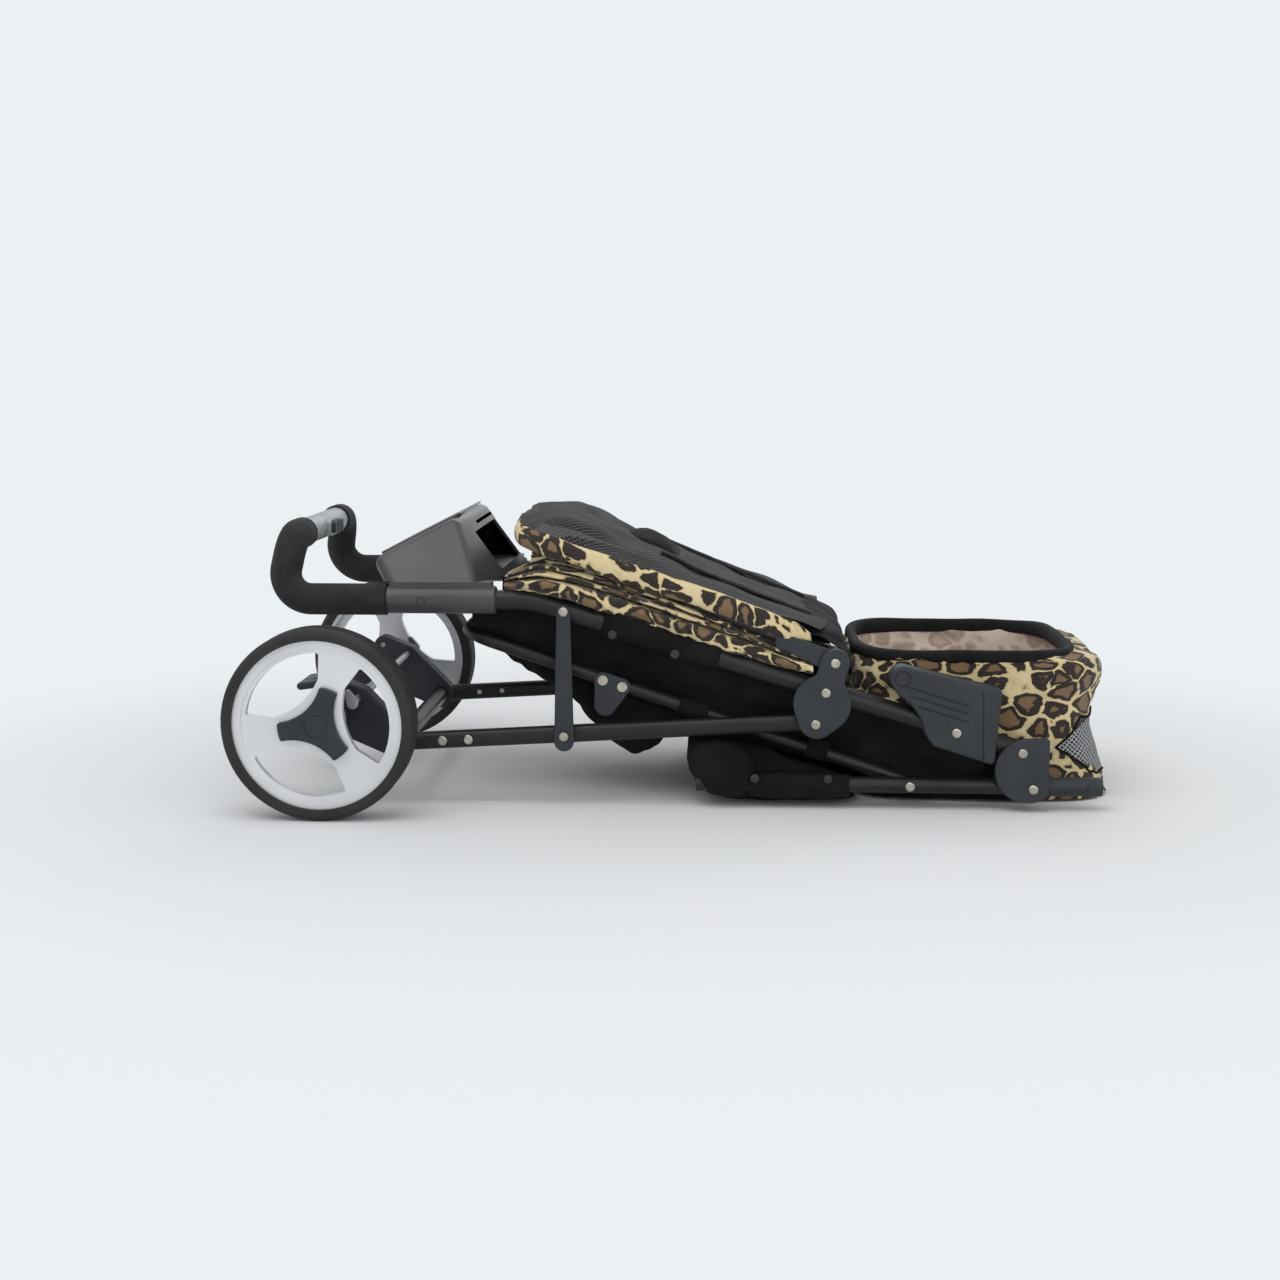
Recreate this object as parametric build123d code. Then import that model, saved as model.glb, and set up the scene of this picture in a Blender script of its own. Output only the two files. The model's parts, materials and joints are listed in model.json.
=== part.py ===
from build123d import *
import math
import os

# Folded pet stroller lying on the floor. Millimetres, X along the stroller with the
# handle at -X, Y across with the near side at -Y, Z up from the floor.

# Wheels
WHEEL_D = 210.0
TRACK = 460.0
TYRE_W = 40.0
TYRE_T = 12.5
TYRE_ROUND = 7.0
GROOVE_W = 3.0
GROOVE_DEPTH = 2.0
RIM_W = 31.0
RIM_RING = 14.0
RIM_LIP = 9.0
RIM_STEP = 1.8
RIM_WALL = 4.0
SPOKES = 3
SPOKE_ANGLE = 35.0
SPOKE_T = 9.0
NEAR_SPOKE_AT = 70.0
FAR_SPOKE_AT = 98.0
HUB_R = 24.0
HUB_BACK = 12.0
HUB_EDGE_R = 50.0
HUB_WAIST_R = 29.5
SPOKE_HOLE_ROUND = 2.5
CAP_T = 6.0
CAP_REACH = 42.0
CAP_ARM_W = 20.0
CAP_WAIST_R = 20.0
CAP_CORNER_R = 2.0
CAP_RING_R = 12.0
CAP_RING_W = 0.8
AXLE_R = 5.0
RING_R = 26.0
RING_T = 9.0
RING_NOTCHES = 12
RING_NOTCH_R = 3.0

# Main tubes and handle
FRAME_Y = 156.0
MAIN_D = 22.0
TUBE_WALL = 1.5
MAIN_SLOPE = 16.9
RAIL_PIVOT_X = 395.0
RAIL_Z = 26.0
FRONT_RIVET_BACK = 12.6
FRONT_RIVET_UP = 40.4
FIN_AT = 76.0
HINGE_AT = 226.0
LATCH_AT = 528.0
BEND_AT = 566.0
BEND_R = 140.0
HANDLE_LEFT = 440.0
HANDLE_BAR_X = 428.0
HANDLE_BAR_RISE = 68.0
HANDLE_BEND_R = 30.0
HANDLE_TOP_Y = 138.0
GRIP_D = 35.0
GRIP_END_Y = 90.0
COLLAR_D = 31.0
COLLAR_FROM = 320.0
COLLAR_TO = 198.0
COLLAR_PAD_W = 13.0
COLLAR_PAD_UP = 20.0
COLLAR_PAD_END = 4.0
COLLAR_SCREW_AT = 40.0
COLLAR_SCREW_R = 5.0
COLLAR_RECESS = 1.5
HOUSING_D = 30.0
BUTTON_W = 44.0
BUTTON_H = 14.0
BUTTON_T = 7.0
BUTTON_TRAVEL = 4.0
BUTTON_ROUND = 4.0
BUTTON_RIDGE = 1.2
BOSS_MARGIN = 5.0

# Tray
TRAY_SKIRT = 0.5
TRAY_HALF_TOP = 104.0
TRAY_NOSE_BACK = 341.0
TRAY_NOSE_UP = 42.0
TRAY_APEX_BACK = 236.0
TRAY_FRONT_BACK = 181.0
TRAY_BOW_R = 415.0
TRAY_TOP_Z = 326.0
TRAY_WALL = 3.5
TRAY_ROUND = 12.0
TRAY_RIM = 13.0
TRAY_BROW = 24.0
TRAY_SILL = 17.0
TRAY_SLOT_H = 4.0
TRAY_SLOT_AT = 16.0
TRAY_HEEL = 6.0
LID_T = 2.5
LID_INSET = 12.0

# Plates and rivets
PLATE_T = 6.0
PLATE_GAP = 0.3
HINGE_UP = 34.3
HINGE_DOWN = 37.0
HINGE_BODY_R = 32.0
HINGE_LOBE_R = 16.0
HINGE_FOOT_R = 21.0
HINGE_NECK_ROUND = 9.0
FRONT_PLATE_R = 36.0
FRONT_SHOULDER = 12.0
FRONT_EDGE = 17.0
CORNER_R = 5.0
EDGE_ROUND = 1.5
RIVET_R = 3.0
RIVET_HEAD_R = 5.6
RIVET_HEAD_T = 2.4
PIVOT_FIT = 0.05
FIN_TIP_R = 14.0
FIN_TIP_OUT = 60.0
FIN_CORNER_OUT = 44.0
FIN_HEEL_X = 38.0
FIN_HEEL_Z = 30.0
FIN_WAIST_R = 60.0
FIN_WAIST_BACK = 94.0
FIN_WAIST_DROP = 11.0
FIN_W = 22.0
FIN_RIB_T = 1.6
FIN_RIBS = 3
FIN_RIB_STEP = 14.0
FIN_BAND = 16.0

# Rear legs
LEG_H = 20.0
LEG_W = 15.0
LEG_HEAD = 13.0
AXLE_BACK = 538.0
BRACKET_REACH = 73.0
BRACKET_DROP = 35.0
BRACKET_LEG_R = 17.0
BRACKET_AXLE_R = 20.0
BRACKET_EAR_R = 11.0
BRACKET_TOP = 29.0
BRACKET_W = 24.0
LEG_GRIP = 22.0
LEG_RIVETS_FROM = 50.0
LEG_RIVETS_APART = 29.0
CROSS_D = 20.0
STUD_R = 5.0

# Brake
BRAKE_ROD_R = 4.5
BRAKE_FORWARD = 31.0
BRAKE_UP = 17.0
PAWL_REACH = 13.0
PAWL_T = 7.0
PEDAL_REACH = 98.0
PEDAL_DROP = 12.0
PEDAL_HALF_W = 34.0
PEDAL_ARM_W = 26.0
PEDAL_T = 9.0
PEDAL_TOE = 26.0

# Storage latch
LATCH_T = 4.0
LATCH_TOP_R = 7.5
LATCH_END_R = 11.0
LATCH_TAIL = 17.0

# Front rails and sockets
RAIL_D = 18.0
RAIL_BACK_X = 24.0
SOCKET_D = 21.0
SOCKET_AHEAD = 26.0
SOCKET_GRIP = 8.0
SOCKET_LENGTH = 52.0
SOCKET_BORE_R = 8.0
SOCKET_DEPTH = 38.0
SOCKET_BUTTON_R = 5.0
SOCKET_BUTTON_PROUD = 2.5

# Floor frame
FLOOR_D = 15.0
FLOOR_Y = 136.0
FLOOR_PIVOT_BACK = 134.0
FLOOR_SLOPE = 18.4
FLOOR_LENGTH = 524.0
FLOOR_BEND_R = 34.0
FLOOR_CORNER = 42.0
BRACE_AT = 349.0
BRACE_RIVETS_APART = 23.0
BRACE_T = 2.6
BRACE_DROP = 26.0
BRACE_R = 9.0
BRACE_LOW_R = 12.0
FLAT_HEAD_T = 1.5

# Canopy
CANOPY_SLOPE = 22.0
CANOPY_LENGTH = 372.0
CANOPY_HOOP_D = 8.0
CANOPY_BEND_R = 60.0
CANOPY_ARM = 62.0
CANOPY_ARM_T = 4.5
CANOPY_ARM_R = 12.0
CANOPY_ROOT_RISE = 28.0
CANOPY_MID_RISE = 31.0
CANOPY_PEAK_RISE = 39.0
CANOPY_BACK_RISE = 27.0
CANOPY_TIP_RISE = 12.0
CANOPY_EDGE_RISE = 14.0

# Bag
TUB_BACK_X = 196.0
TUB_HALF_BASE = 122.0
TUB_HALF_RIM = 138.0
TUB_RIM_Z = 172.0
TUB_WALL = 4.0
TUB_CORNER_R = 48.0
TUB_LEAN = 22.0
FLOOR_PAD_BACK_X = 34.0
FLOOR_PAD_T = 12.0
SOFT_GAP = 0.4
BASKET_HALF = 124.0
BASKET_ROUND = 5.0
BASKET_SAG_X = 60.0
BASKET_SAG_Z = 25.0
BACK_PANEL_HALF = 133.0
PANEL_T = 9.0
PANEL_PAST = 60.0


def polar(point, angle, distance):
    """The point at this distance and angle, in degrees, in the side view."""
    turn = math.radians(angle)
    return (point[0] + distance * math.cos(turn), point[1] + distance * math.sin(turn))


# Side view points, (X, Z)
WHEEL_R = WHEEL_D / 2
WHEEL_Y = TRACK / 2
BACK_ALONG_MAIN = 180 - MAIN_SLOPE
UP_FROM_MAIN = 90 - MAIN_SLOPE
RAIL_PIVOT = (RAIL_PIVOT_X, RAIL_Z)
FRONT_RIVET = (RAIL_PIVOT_X - FRONT_RIVET_BACK, RAIL_Z + FRONT_RIVET_UP)
FIN_RIVET = polar(FRONT_RIVET, BACK_ALONG_MAIN, FIN_AT)
HINGE_RIVET = polar(FRONT_RIVET, BACK_ALONG_MAIN, HINGE_AT)
LATCH_RIVET = polar(FRONT_RIVET, BACK_ALONG_MAIN, LATCH_AT)
BEND = polar(FRONT_RIVET, BACK_ALONG_MAIN, BEND_AT)
CANOPY_PIVOT = polar(HINGE_RIVET, UP_FROM_MAIN, HINGE_UP)
LEG_PIVOT = polar(HINGE_RIVET, UP_FROM_MAIN, -HINGE_DOWN)
AXLE = (LEG_PIVOT[0] - AXLE_BACK, WHEEL_R)
LEG_END = (AXLE[0] + BRACKET_REACH, AXLE[1] - BRACKET_DROP)
BRAKE = (AXLE[0] + BRAKE_FORWARD, AXLE[1] + BRAKE_UP)
FLOOR_PIVOT = (RAIL_PIVOT_X - FLOOR_PIVOT_BACK, RAIL_Z)
HANDLE_Z = BEND[1]
BAR_Z = HANDLE_Z + HANDLE_BAR_RISE
LEG_ANGLE = math.degrees(math.atan2(LEG_END[1] - LEG_PIVOT[1], LEG_END[0] - LEG_PIVOT[0]))
LEG_LENGTH = math.dist(LEG_PIVOT, LEG_END)
STUD_AT = (LATCH_RIVET[0] - LEG_PIVOT[0]) / math.cos(math.radians(LEG_ANGLE))
STUD = polar(LEG_PIVOT, LEG_ANGLE, STUD_AT)

# Layers across the near side, as distances from the middle
MAIN_FACE = FRAME_Y + MAIN_D / 2
PLATE_FACE = MAIN_FACE + PLATE_GAP
PLATE_OUT = PLATE_FACE + PLATE_T
LATCH_FACE = MAIN_FACE + 2 * PLATE_GAP
LEG_FACE = FRAME_Y + LEG_W / 2
RAIL_FACE = FRAME_Y + RAIL_D / 2
BRACKET_IN = FRAME_Y - BRACKET_W / 2
BRACKET_OUT = FRAME_Y + BRACKET_W / 2
RIM_OUT = WHEEL_Y + RIM_W / 2
HUB_IN = WHEEL_Y - TYRE_W / 2 - HUB_BACK
FLOOR_FACE = FLOOR_Y + FLOOR_D / 2

nodes = {}


def layer(y):
    """A plane across the near side: X and Z in the sketch, outwards along its normal."""
    return Plane(origin=(0, -y, 0), x_dir=(1, 0, 0), z_dir=(0, -1, 0))


def slab(sketch, y_in, y_out):
    """A side view outline given its place and thickness across the near side."""
    return extrude(layer(y_in) * sketch, y_out - y_in)


def peg(point, radius, y_in, y_out):
    """A round pin along Y on the near side."""
    return slab(Pos(*point) * Circle(radius), y_in, y_out)


def disc_hull(*discs):
    """The outline drawn tight round discs given as (point, radius)."""
    edges = [e for point, radius in discs for e in (Pos(*point) * Circle(radius)).edges()]
    return make_hull(edges)


def rivet(point, y_in, y_out):
    """A rivet with its domed head outside."""
    head = peg(point, RIVET_HEAD_R, y_out, y_out + RIVET_HEAD_T)
    head = fillet(head.edges().sort_by(Axis.Y)[0], RIVET_HEAD_T * 0.9)
    return peg(point, RIVET_R, y_in, y_out) + head


def rounded_path(points, radius):
    """Straight runs joined by tangent arcs of one radius."""
    corners = [Vector(*p) for p in points]
    edges = []
    start = corners[0]
    for before, corner, after in zip(corners, corners[1:], corners[2:]):
        into = (corner - before).normalized()
        out = (after - corner).normalized()
        half_turn = math.radians(into.get_angle(out)) / 2
        cut = radius * math.tan(half_turn)
        toward = (out - into).normalized()
        middle = corner + toward * (radius / math.cos(half_turn) - radius)
        edges.append(Edge.make_line(start, corner - into * cut))
        edges.append(Edge.make_three_point_arc(corner - into * cut, middle, corner + out * cut))
        start = corner + out * cut
    edges.append(Edge.make_line(start, corners[-1]))
    return Wire(edges)


def swept(path, radius, bore=0.0):
    """A round bar along a path, or a tube where a bore is given."""
    section = Circle(radius) - Circle(bore) if bore else Circle(radius)
    return sweep(Plane(path @ 0, z_dir=path % 0) * section, path=path)


def near(point, y):
    """A side view point set in space on the near side."""
    return (point[0], -y, point[1])


def straight(a, b):
    """A straight path."""
    return Wire([Edge.make_line(Vector(*a), Vector(*b))])


def pair(name, solid):
    """The near piece and its mirror image on the far side."""
    nodes[name + "_near"] = solid
    nodes[name + "_far"] = mirror(solid, about=Plane.XZ)


def both(solid):
    """Two mirrored solids for one node."""
    return [solid, mirror(solid, about=Plane.XZ)]


def group(*solids):
    """Several separate solids in one node."""
    return Compound(children=[s for piece in solids for s in piece.solids()])


def blunted(solid, radius):
    """Rounds the outer rim of a plate on the near side."""
    rim = solid.faces().sort_by(Axis.Y)[0].outer_wire().edges()
    return fillet(rim, radius)


# Rear wheels
def star(reach, waist, gap_half, spoke_at):
    """A disc hollowed between its arms by arcs that come as near as the waist."""
    shape = Circle(reach)
    away = (reach ** 2 - waist ** 2) / (2 * (reach * math.cos(math.radians(gap_half)) - waist))
    for i in range(SPOKES):
        mid_gap = spoke_at + (i + 0.5) * 360 / SPOKES
        shape -= Pos(*polar((0, 0), mid_gap, away)) * Circle(away - waist)
    return shape


def wheel(spoke_at):
    """Tyre, spoked rim, three-armed cap and brake ring of the near wheel."""
    rim_r = WHEEL_R - TYRE_T
    ring_in = rim_r - RIM_RING
    centre = Pos(AXLE[0], AXLE[1])
    section = Rectangle(TYRE_T, TYRE_W)
    section = fillet(section.vertices().group_by(Axis.X)[-1], TYRE_ROUND)
    groove = Rectangle(2 * GROOVE_DEPTH, GROOVE_W)
    for across in (-TYRE_W / 5, 0, TYRE_W / 5):
        section -= Pos(TYRE_T / 2, across) * groove
    tyre = revolve(Plane.XZ * Pos(rim_r + TYRE_T / 2, 0) * section, Axis.Z)
    barrel = Circle(rim_r) - Circle(rim_r - RIM_WALL)
    rim = slab(centre * barrel, RIM_OUT - RIM_W, RIM_OUT)
    rim += slab(centre * (Circle(rim_r) - Circle(rim_r - RIM_LIP)), RIM_OUT - SPOKE_T, RIM_OUT)
    disc = Circle(rim_r - RIM_WALL / 2)
    gap_half = 180 / SPOKES - SPOKE_ANGLE / 2
    hub = star(HUB_EDGE_R, HUB_WAIST_R, gap_half, spoke_at)
    for i in range(SPOKES):
        mid_gap = spoke_at + (i + 0.5) * 360 / SPOKES
        corner_a = polar((0, 0), mid_gap - gap_half, 2 * WHEEL_R)
        corner_b = polar((0, 0), mid_gap + gap_half, 2 * WHEEL_R)
        wedge = make_face(Polyline((0, 0), corner_a, corner_b, close=True))
        hole = (Circle(ring_in) & wedge) - hub
        disc -= fillet(hole.vertices(), SPOKE_HOLE_ROUND)
    spoke_out = RIM_OUT - RIM_STEP
    rim += slab(centre * disc, spoke_out - SPOKE_T, spoke_out)
    rim += slab(centre * Circle(HUB_R), HUB_IN + RING_T, spoke_out - SPOKE_T / 2)
    rim -= peg(AXLE, AXLE_R + PIVOT_FIT, HUB_IN, RIM_OUT + 1)
    arm_half = math.degrees(math.asin(CAP_ARM_W / 2 / CAP_REACH))
    cap = star(CAP_REACH, CAP_WAIST_R, 180 / SPOKES - arm_half, spoke_at)
    cap = fillet(cap.vertices(), CAP_CORNER_R)
    cap = blunted(slab(centre * cap, spoke_out, RIM_OUT + CAP_T), EDGE_ROUND)
    cap_ring = Circle(CAP_RING_R + CAP_RING_W) - Circle(CAP_RING_R)
    cap -= slab(centre * cap_ring, RIM_OUT + CAP_T - CAP_RING_W, RIM_OUT + CAP_T)
    ring = Circle(RING_R) - Circle(AXLE_R + PIVOT_FIT)
    for i in range(RING_NOTCHES):
        ring -= Pos(*polar((0, 0), i * 360 / RING_NOTCHES, RING_R)) * Circle(RING_NOTCH_R)
    ring = slab(centre * ring, HUB_IN, HUB_IN + RING_T)
    tyre = Pos(AXLE[0], -WHEEL_Y, AXLE[1]) * Rot(90, 0, 0) * tyre
    return {"tyre": tyre, "wheel_rim": rim, "hub_cap": cap, "brake_ring": ring}


for piece, solid in wheel(NEAR_SPOKE_AT).items():
    nodes[piece + "_near"] = solid
for piece, solid in wheel(FAR_SPOKE_AT).items():
    nodes[piece + "_far"] = mirror(solid, about=Plane.XZ)


# Main tubes with the handle
def cross_hole(point, radius):
    """A round cutter right across the near side."""
    return peg(point, radius, 0, WHEEL_Y)


main_end = (-COLLAR_TO - (COLLAR_FROM - COLLAR_TO) / 2, HANDLE_Z)
main_start = polar(FRONT_RIVET, BACK_ALONG_MAIN, -MAIN_D / 2)
main_path = rounded_path([near(main_start, FRAME_Y), near(BEND, FRAME_Y), near(main_end, FRAME_Y)], BEND_R)
main_tube = swept(main_path, MAIN_D / 2, MAIN_D / 2 - TUBE_WALL)
for point in (FRONT_RIVET, FIN_RIVET, HINGE_RIVET, LATCH_RIVET):
    main_tube -= cross_hole(point, RIVET_R)
pair("main_tube", main_tube)

handle_points = [
    near(main_end, FRAME_Y),
    (-HANDLE_LEFT, -FRAME_Y, HANDLE_Z),
    (-HANDLE_BAR_X, -HANDLE_TOP_Y, BAR_Z),
    (-HANDLE_BAR_X, 0, BAR_Z),
]
grip_points = [(-COLLAR_FROM, -FRAME_Y, HANDLE_Z)] + handle_points[1:3]
grip_points.append((-HANDLE_BAR_X, -GRIP_END_Y, BAR_Z))
handle_path = rounded_path(handle_points, HANDLE_BEND_R)
pair("handle_tube", swept(handle_path, MAIN_D / 2, MAIN_D / 2 - TUBE_WALL))
grip_path = rounded_path(grip_points, HANDLE_BEND_R)
pair("grip", swept(grip_path, GRIP_D / 2, MAIN_D / 2))

housing_plane = Plane(origin=(-HANDLE_BAR_X, 0, BAR_Z), x_dir=(1, 0, 0), z_dir=(0, 1, 0))
housing = extrude(housing_plane * Circle(HOUSING_D / 2), GRIP_END_Y, both=True)
button_seat = Plane(origin=(-HANDLE_BAR_X, 0, BAR_Z), x_dir=(0, 1, 0), z_dir=(1, 0, 0))
boss_shape = RectangleRounded(BUTTON_W + 2 * BOSS_MARGIN, BUTTON_H + BOSS_MARGIN, BOSS_MARGIN)
housing += extrude(button_seat * boss_shape, HOUSING_D / 2 + BUTTON_TRAVEL)
housing -= extrude(housing_plane * Circle(MAIN_D / 2), GRIP_END_Y, both=True)
well_floor = MAIN_D / 2 + TUBE_WALL
button_back = well_floor + BUTTON_TRAVEL + PLATE_GAP
button_shape = RectangleRounded(BUTTON_W, BUTTON_H, BUTTON_ROUND)
well = offset(button_shape, PLATE_GAP)
housing -= extrude(button_seat * well, HOUSING_D).moved(Location((well_floor, 0, 0)))
nodes["release_housing"] = housing
button = extrude(button_seat * button_shape, BUTTON_T).moved(Location((button_back, 0, 0)))
for i in range(-2, 3):
    ridge = Pos(i * BUTTON_W / 6, 0) * Rectangle(BUTTON_W / 14, BUTTON_H)
    groove_at = Location((button_back + BUTTON_T - BUTTON_RIDGE, 0, 0))
    button -= extrude(button_seat * ridge, BUTTON_RIDGE).moved(groove_at)
nodes["release_button"] = button

# Collars and tray on the handle
collar_plane = Plane(origin=(-COLLAR_FROM, -FRAME_Y, HANDLE_Z), x_dir=(0, 1, 0), z_dir=(1, 0, 0))
collar_length = COLLAR_FROM - COLLAR_TO
collar = extrude(collar_plane * Circle(COLLAR_D / 2), collar_length)
collar = chamfer(collar.edges(), EDGE_ROUND)
pad = Pos(0, COLLAR_PAD_UP / 2) * Rectangle(COLLAR_PAD_W, COLLAR_PAD_UP)
collar_pad = extrude(collar_plane * pad, collar_length - 2 * COLLAR_PAD_END)
collar += collar_pad.moved(Location((COLLAR_PAD_END, 0, 0)))
collar_screw = (-COLLAR_FROM + COLLAR_SCREW_AT, HANDLE_Z)
collar_out = FRAME_Y + COLLAR_D / 2
collar -= peg(collar_screw, COLLAR_SCREW_R, collar_out - COLLAR_RECESS, collar_out)
collar += peg(collar_screw, COLLAR_SCREW_R * 0.7, collar_out - 2 * COLLAR_RECESS, collar_out - PLATE_GAP)
collar -= extrude(collar_plane * Circle(MAIN_D / 2), collar_length)
pair("tray_collar", collar)

tray_base = HANDLE_Z + COLLAR_PAD_UP
tray_half_base = FRAME_Y + COLLAR_PAD_W / 2 + TRAY_SKIRT
nose = (-TRAY_NOSE_BACK, HANDLE_Z + TRAY_NOSE_UP)
apex = (-TRAY_APEX_BACK, TRAY_TOP_Z)
foot = (-TRAY_FRONT_BACK, tray_base)
heel = (-COLLAR_FROM - TRAY_HEEL, tray_base)
front_mid = ((apex[0] + foot[0]) / 2, (apex[1] + foot[1]) / 2)
front_length = math.dist(apex, foot)
front_angle = math.degrees(math.atan2(apex[1] - foot[1], apex[0] - foot[0]))
lid_angle = math.degrees(math.atan2(apex[1] - nose[1], apex[0] - nose[0]))


def facing(point, angle):
    """A plane on the middle line, its normal at this angle in the side view."""
    turn = math.radians(angle)
    return Plane(origin=near(point, 0), x_dir=(0, 1, 0), z_dir=(math.cos(turn), 0, math.sin(turn)))


def tray_form(inset):
    """The rounded pod of the tray with its bowed front, drawn in by a wall where one is given."""
    past_apex = polar(apex, lid_angle, front_length)
    past_foot = (past_apex[0] + front_length, tray_base)
    outline = make_face(Polyline(nose, past_apex, past_foot, heel, close=True))
    if inset:
        outline = offset(outline, -inset)
    width = tray_half_base - inset
    wedge = extrude(layer(0) * outline, width, both=True)
    top = TRAY_HALF_TOP - inset
    sides = Polyline((-width, tray_base), (-top, TRAY_TOP_Z), (-top, 2 * TRAY_TOP_Z), (top, 2 * TRAY_TOP_Z),
                     (top, TRAY_TOP_Z), (width, tray_base), close=True)
    across = Plane(origin=(0, 0, 0), x_dir=(0, 1, 0), z_dir=(1, 0, 0))
    wedge &= extrude(across * make_face(sides), TRAY_NOSE_BACK * 2, both=True)
    bow_axis = polar(front_mid, front_angle - 90, -TRAY_BOW_R)
    wedge &= extrude(facing(bow_axis, front_angle) * Circle(TRAY_BOW_R - inset), TRAY_BOW_R, both=True)
    rims = wedge.edges().filter_by(lambda e: e.center().Z > tray_base + TRAY_HEEL)
    return fillet(rims, TRAY_ROUND - inset)


tray = tray_form(0) - tray_form(TRAY_WALL)
front_plane = facing(front_mid, front_angle - 90)
window_half = TRAY_HALF_TOP - TRAY_RIM
window_height = front_length - TRAY_BROW - TRAY_SILL
window = Pos(0, (TRAY_SILL - TRAY_BROW) / 2) * RectangleRounded(2 * window_half, window_height, TRAY_WALL)
tray_slot = Pos(0, front_length / 2 - TRAY_SLOT_AT) * Rectangle(1.5 * window_half, TRAY_SLOT_H)
for cutter in (window, tray_slot):
    tray -= extrude(front_plane * cutter, 1.3 * TRAY_RIM, both=True)
nodes["tray_body"] = tray

lid_mid = ((apex[0] + nose[0]) / 2, (apex[1] + nose[1]) / 2)
lid_plane = facing(lid_mid, lid_angle + 90)
lid_half = math.dist(apex, nose) / 2 - LID_INSET
side_lean = (tray_half_base - TRAY_HALF_TOP) / (TRAY_TOP_Z - tray_base)
lid_high = TRAY_HALF_TOP - LID_INSET
lid_low = lid_high + side_lean * (apex[1] - nose[1])
lid_shape = make_face(Polyline((-lid_low, lid_half), (lid_low, lid_half), (lid_high, -lid_half),
                               (-lid_high, -lid_half), close=True))
lid_shape = fillet(lid_shape.vertices(), TRAY_ROUND / 2)
lid = extrude(lid_plane * lid_shape, LID_T)
lid_top = lid.faces().sort_by(Axis(lid_plane.origin, lid_plane.z_dir))[-1]
nodes["tray_lid"] = fillet(lid_top.edges(), LID_T * 0.5)


# Hinge plates, front plates and fin brackets on the main tubes
def plate(outline, rivets):
    """A moulded side plate with a rounded rim and rivet holes."""
    solid = blunted(slab(outline, PLATE_FACE, PLATE_OUT), EDGE_ROUND)
    for point in rivets:
        solid -= cross_hole(point, RIVET_R)
    return solid


hinge_low = polar(HINGE_RIVET, UP_FROM_MAIN, -HINGE_DOWN * 0.35)
hinge_foot = polar(LEG_PIVOT, UP_FROM_MAIN, HINGE_FOOT_R - HINGE_LOBE_R)
hinge_outline = disc_hull((hinge_low, HINGE_BODY_R), (hinge_foot, HINGE_FOOT_R))
hinge_outline += disc_hull((CANOPY_PIVOT, HINGE_LOBE_R), (HINGE_RIVET, HINGE_LOBE_R))
neck_corners = hinge_outline.vertices().sort_by_distance((*HINGE_RIVET, 0))[:2]
hinge_outline = fillet(neck_corners, HINGE_NECK_ROUND)
pair("hinge_plate", plate(hinge_outline, (CANOPY_PIVOT, HINGE_RIVET, LEG_PIVOT)))

front_mid_point = ((FRONT_RIVET[0] + RAIL_PIVOT[0]) / 2, (FRONT_RIVET[1] + RAIL_PIVOT[1]) / 2)
shoulder = (RAIL_PIVOT[0] + FRONT_SHOULDER, FRONT_RIVET[1] + FRONT_SHOULDER)
front_outline = disc_hull((front_mid_point, FRONT_PLATE_R), (shoulder, CORNER_R))
front_reach = 4 * FRONT_PLATE_R
front_limit = Pos(RAIL_PIVOT[0] + FRONT_EDGE - front_reach / 2, FRONT_RIVET[1])
front_outline &= front_limit * Rectangle(front_reach, front_reach)
pair("front_plate", plate(front_outline, (FRONT_RIVET, RAIL_PIVOT)))

fin_tip = (FIN_RIVET[0] - FIN_TIP_OUT, FIN_RIVET[1] + FIN_TIP_OUT)
fin_corner = (FIN_RIVET[0] + FIN_CORNER_OUT, FIN_RIVET[1] + FIN_CORNER_OUT)
fin_heel = (FIN_RIVET[0] + FIN_HEEL_X, FIN_RIVET[1] - FIN_HEEL_Z)
fin_toe = (FIN_RIVET[0] - MAIN_D, FIN_RIVET[1] - MAIN_D / 2)
fin_in = MAIN_FACE - FIN_W + PLATE_T
fin_out = MAIN_FACE + PLATE_T
fin_outline = disc_hull((fin_tip, FIN_TIP_R), (fin_toe, CORNER_R), (fin_corner, CORNER_R), (fin_heel, CORNER_R))
fin_waist = (FIN_RIVET[0] - FIN_WAIST_BACK, FIN_RIVET[1] - FIN_WAIST_DROP)
fin_outline -= Pos(*fin_waist) * Circle(FIN_WAIST_R)
fin = blunted(slab(fin_outline, fin_in, fin_out), 2 * EDGE_ROUND)
band_top = polar(fin_corner, 180, FIN_BAND)
band_foot = polar(fin_heel, 180, FIN_BAND / 2)
grooves = [disc_hull((band_top, FIN_RIB_T / 2), (band_foot, FIN_RIB_T / 2))]
for i in range(FIN_RIBS):
    start = polar(polar(fin_tip, -75, FIN_TIP_R * 0.6), -55, i * FIN_RIB_STEP)
    rib_length = band_top[0] - start[0] - FIN_RIB_STEP
    grooves.append(disc_hull((start, FIN_RIB_T / 2), (polar(start, -MAIN_SLOPE, rib_length), FIN_RIB_T)))
for groove in grooves:
    fin -= slab(groove, fin_out - FIN_RIB_T, fin_out)
dish = Pos(*fin_tip) * (Circle(FIN_TIP_R * 0.65) - Circle(FIN_TIP_R * 0.5))
fin -= slab(dish, fin_out - FIN_RIB_T, fin_out)
fin_bore = straight(near(polar(FIN_RIVET, BACK_ALONG_MAIN, -FIN_AT), FRAME_Y),
                    near(polar(FIN_RIVET, BACK_ALONG_MAIN, FIN_AT), FRAME_Y))
fin -= swept(fin_bore, MAIN_D / 2)
fin -= cross_hole(FIN_RIVET, RIVET_R)
pair("fin_bracket", fin)

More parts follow.
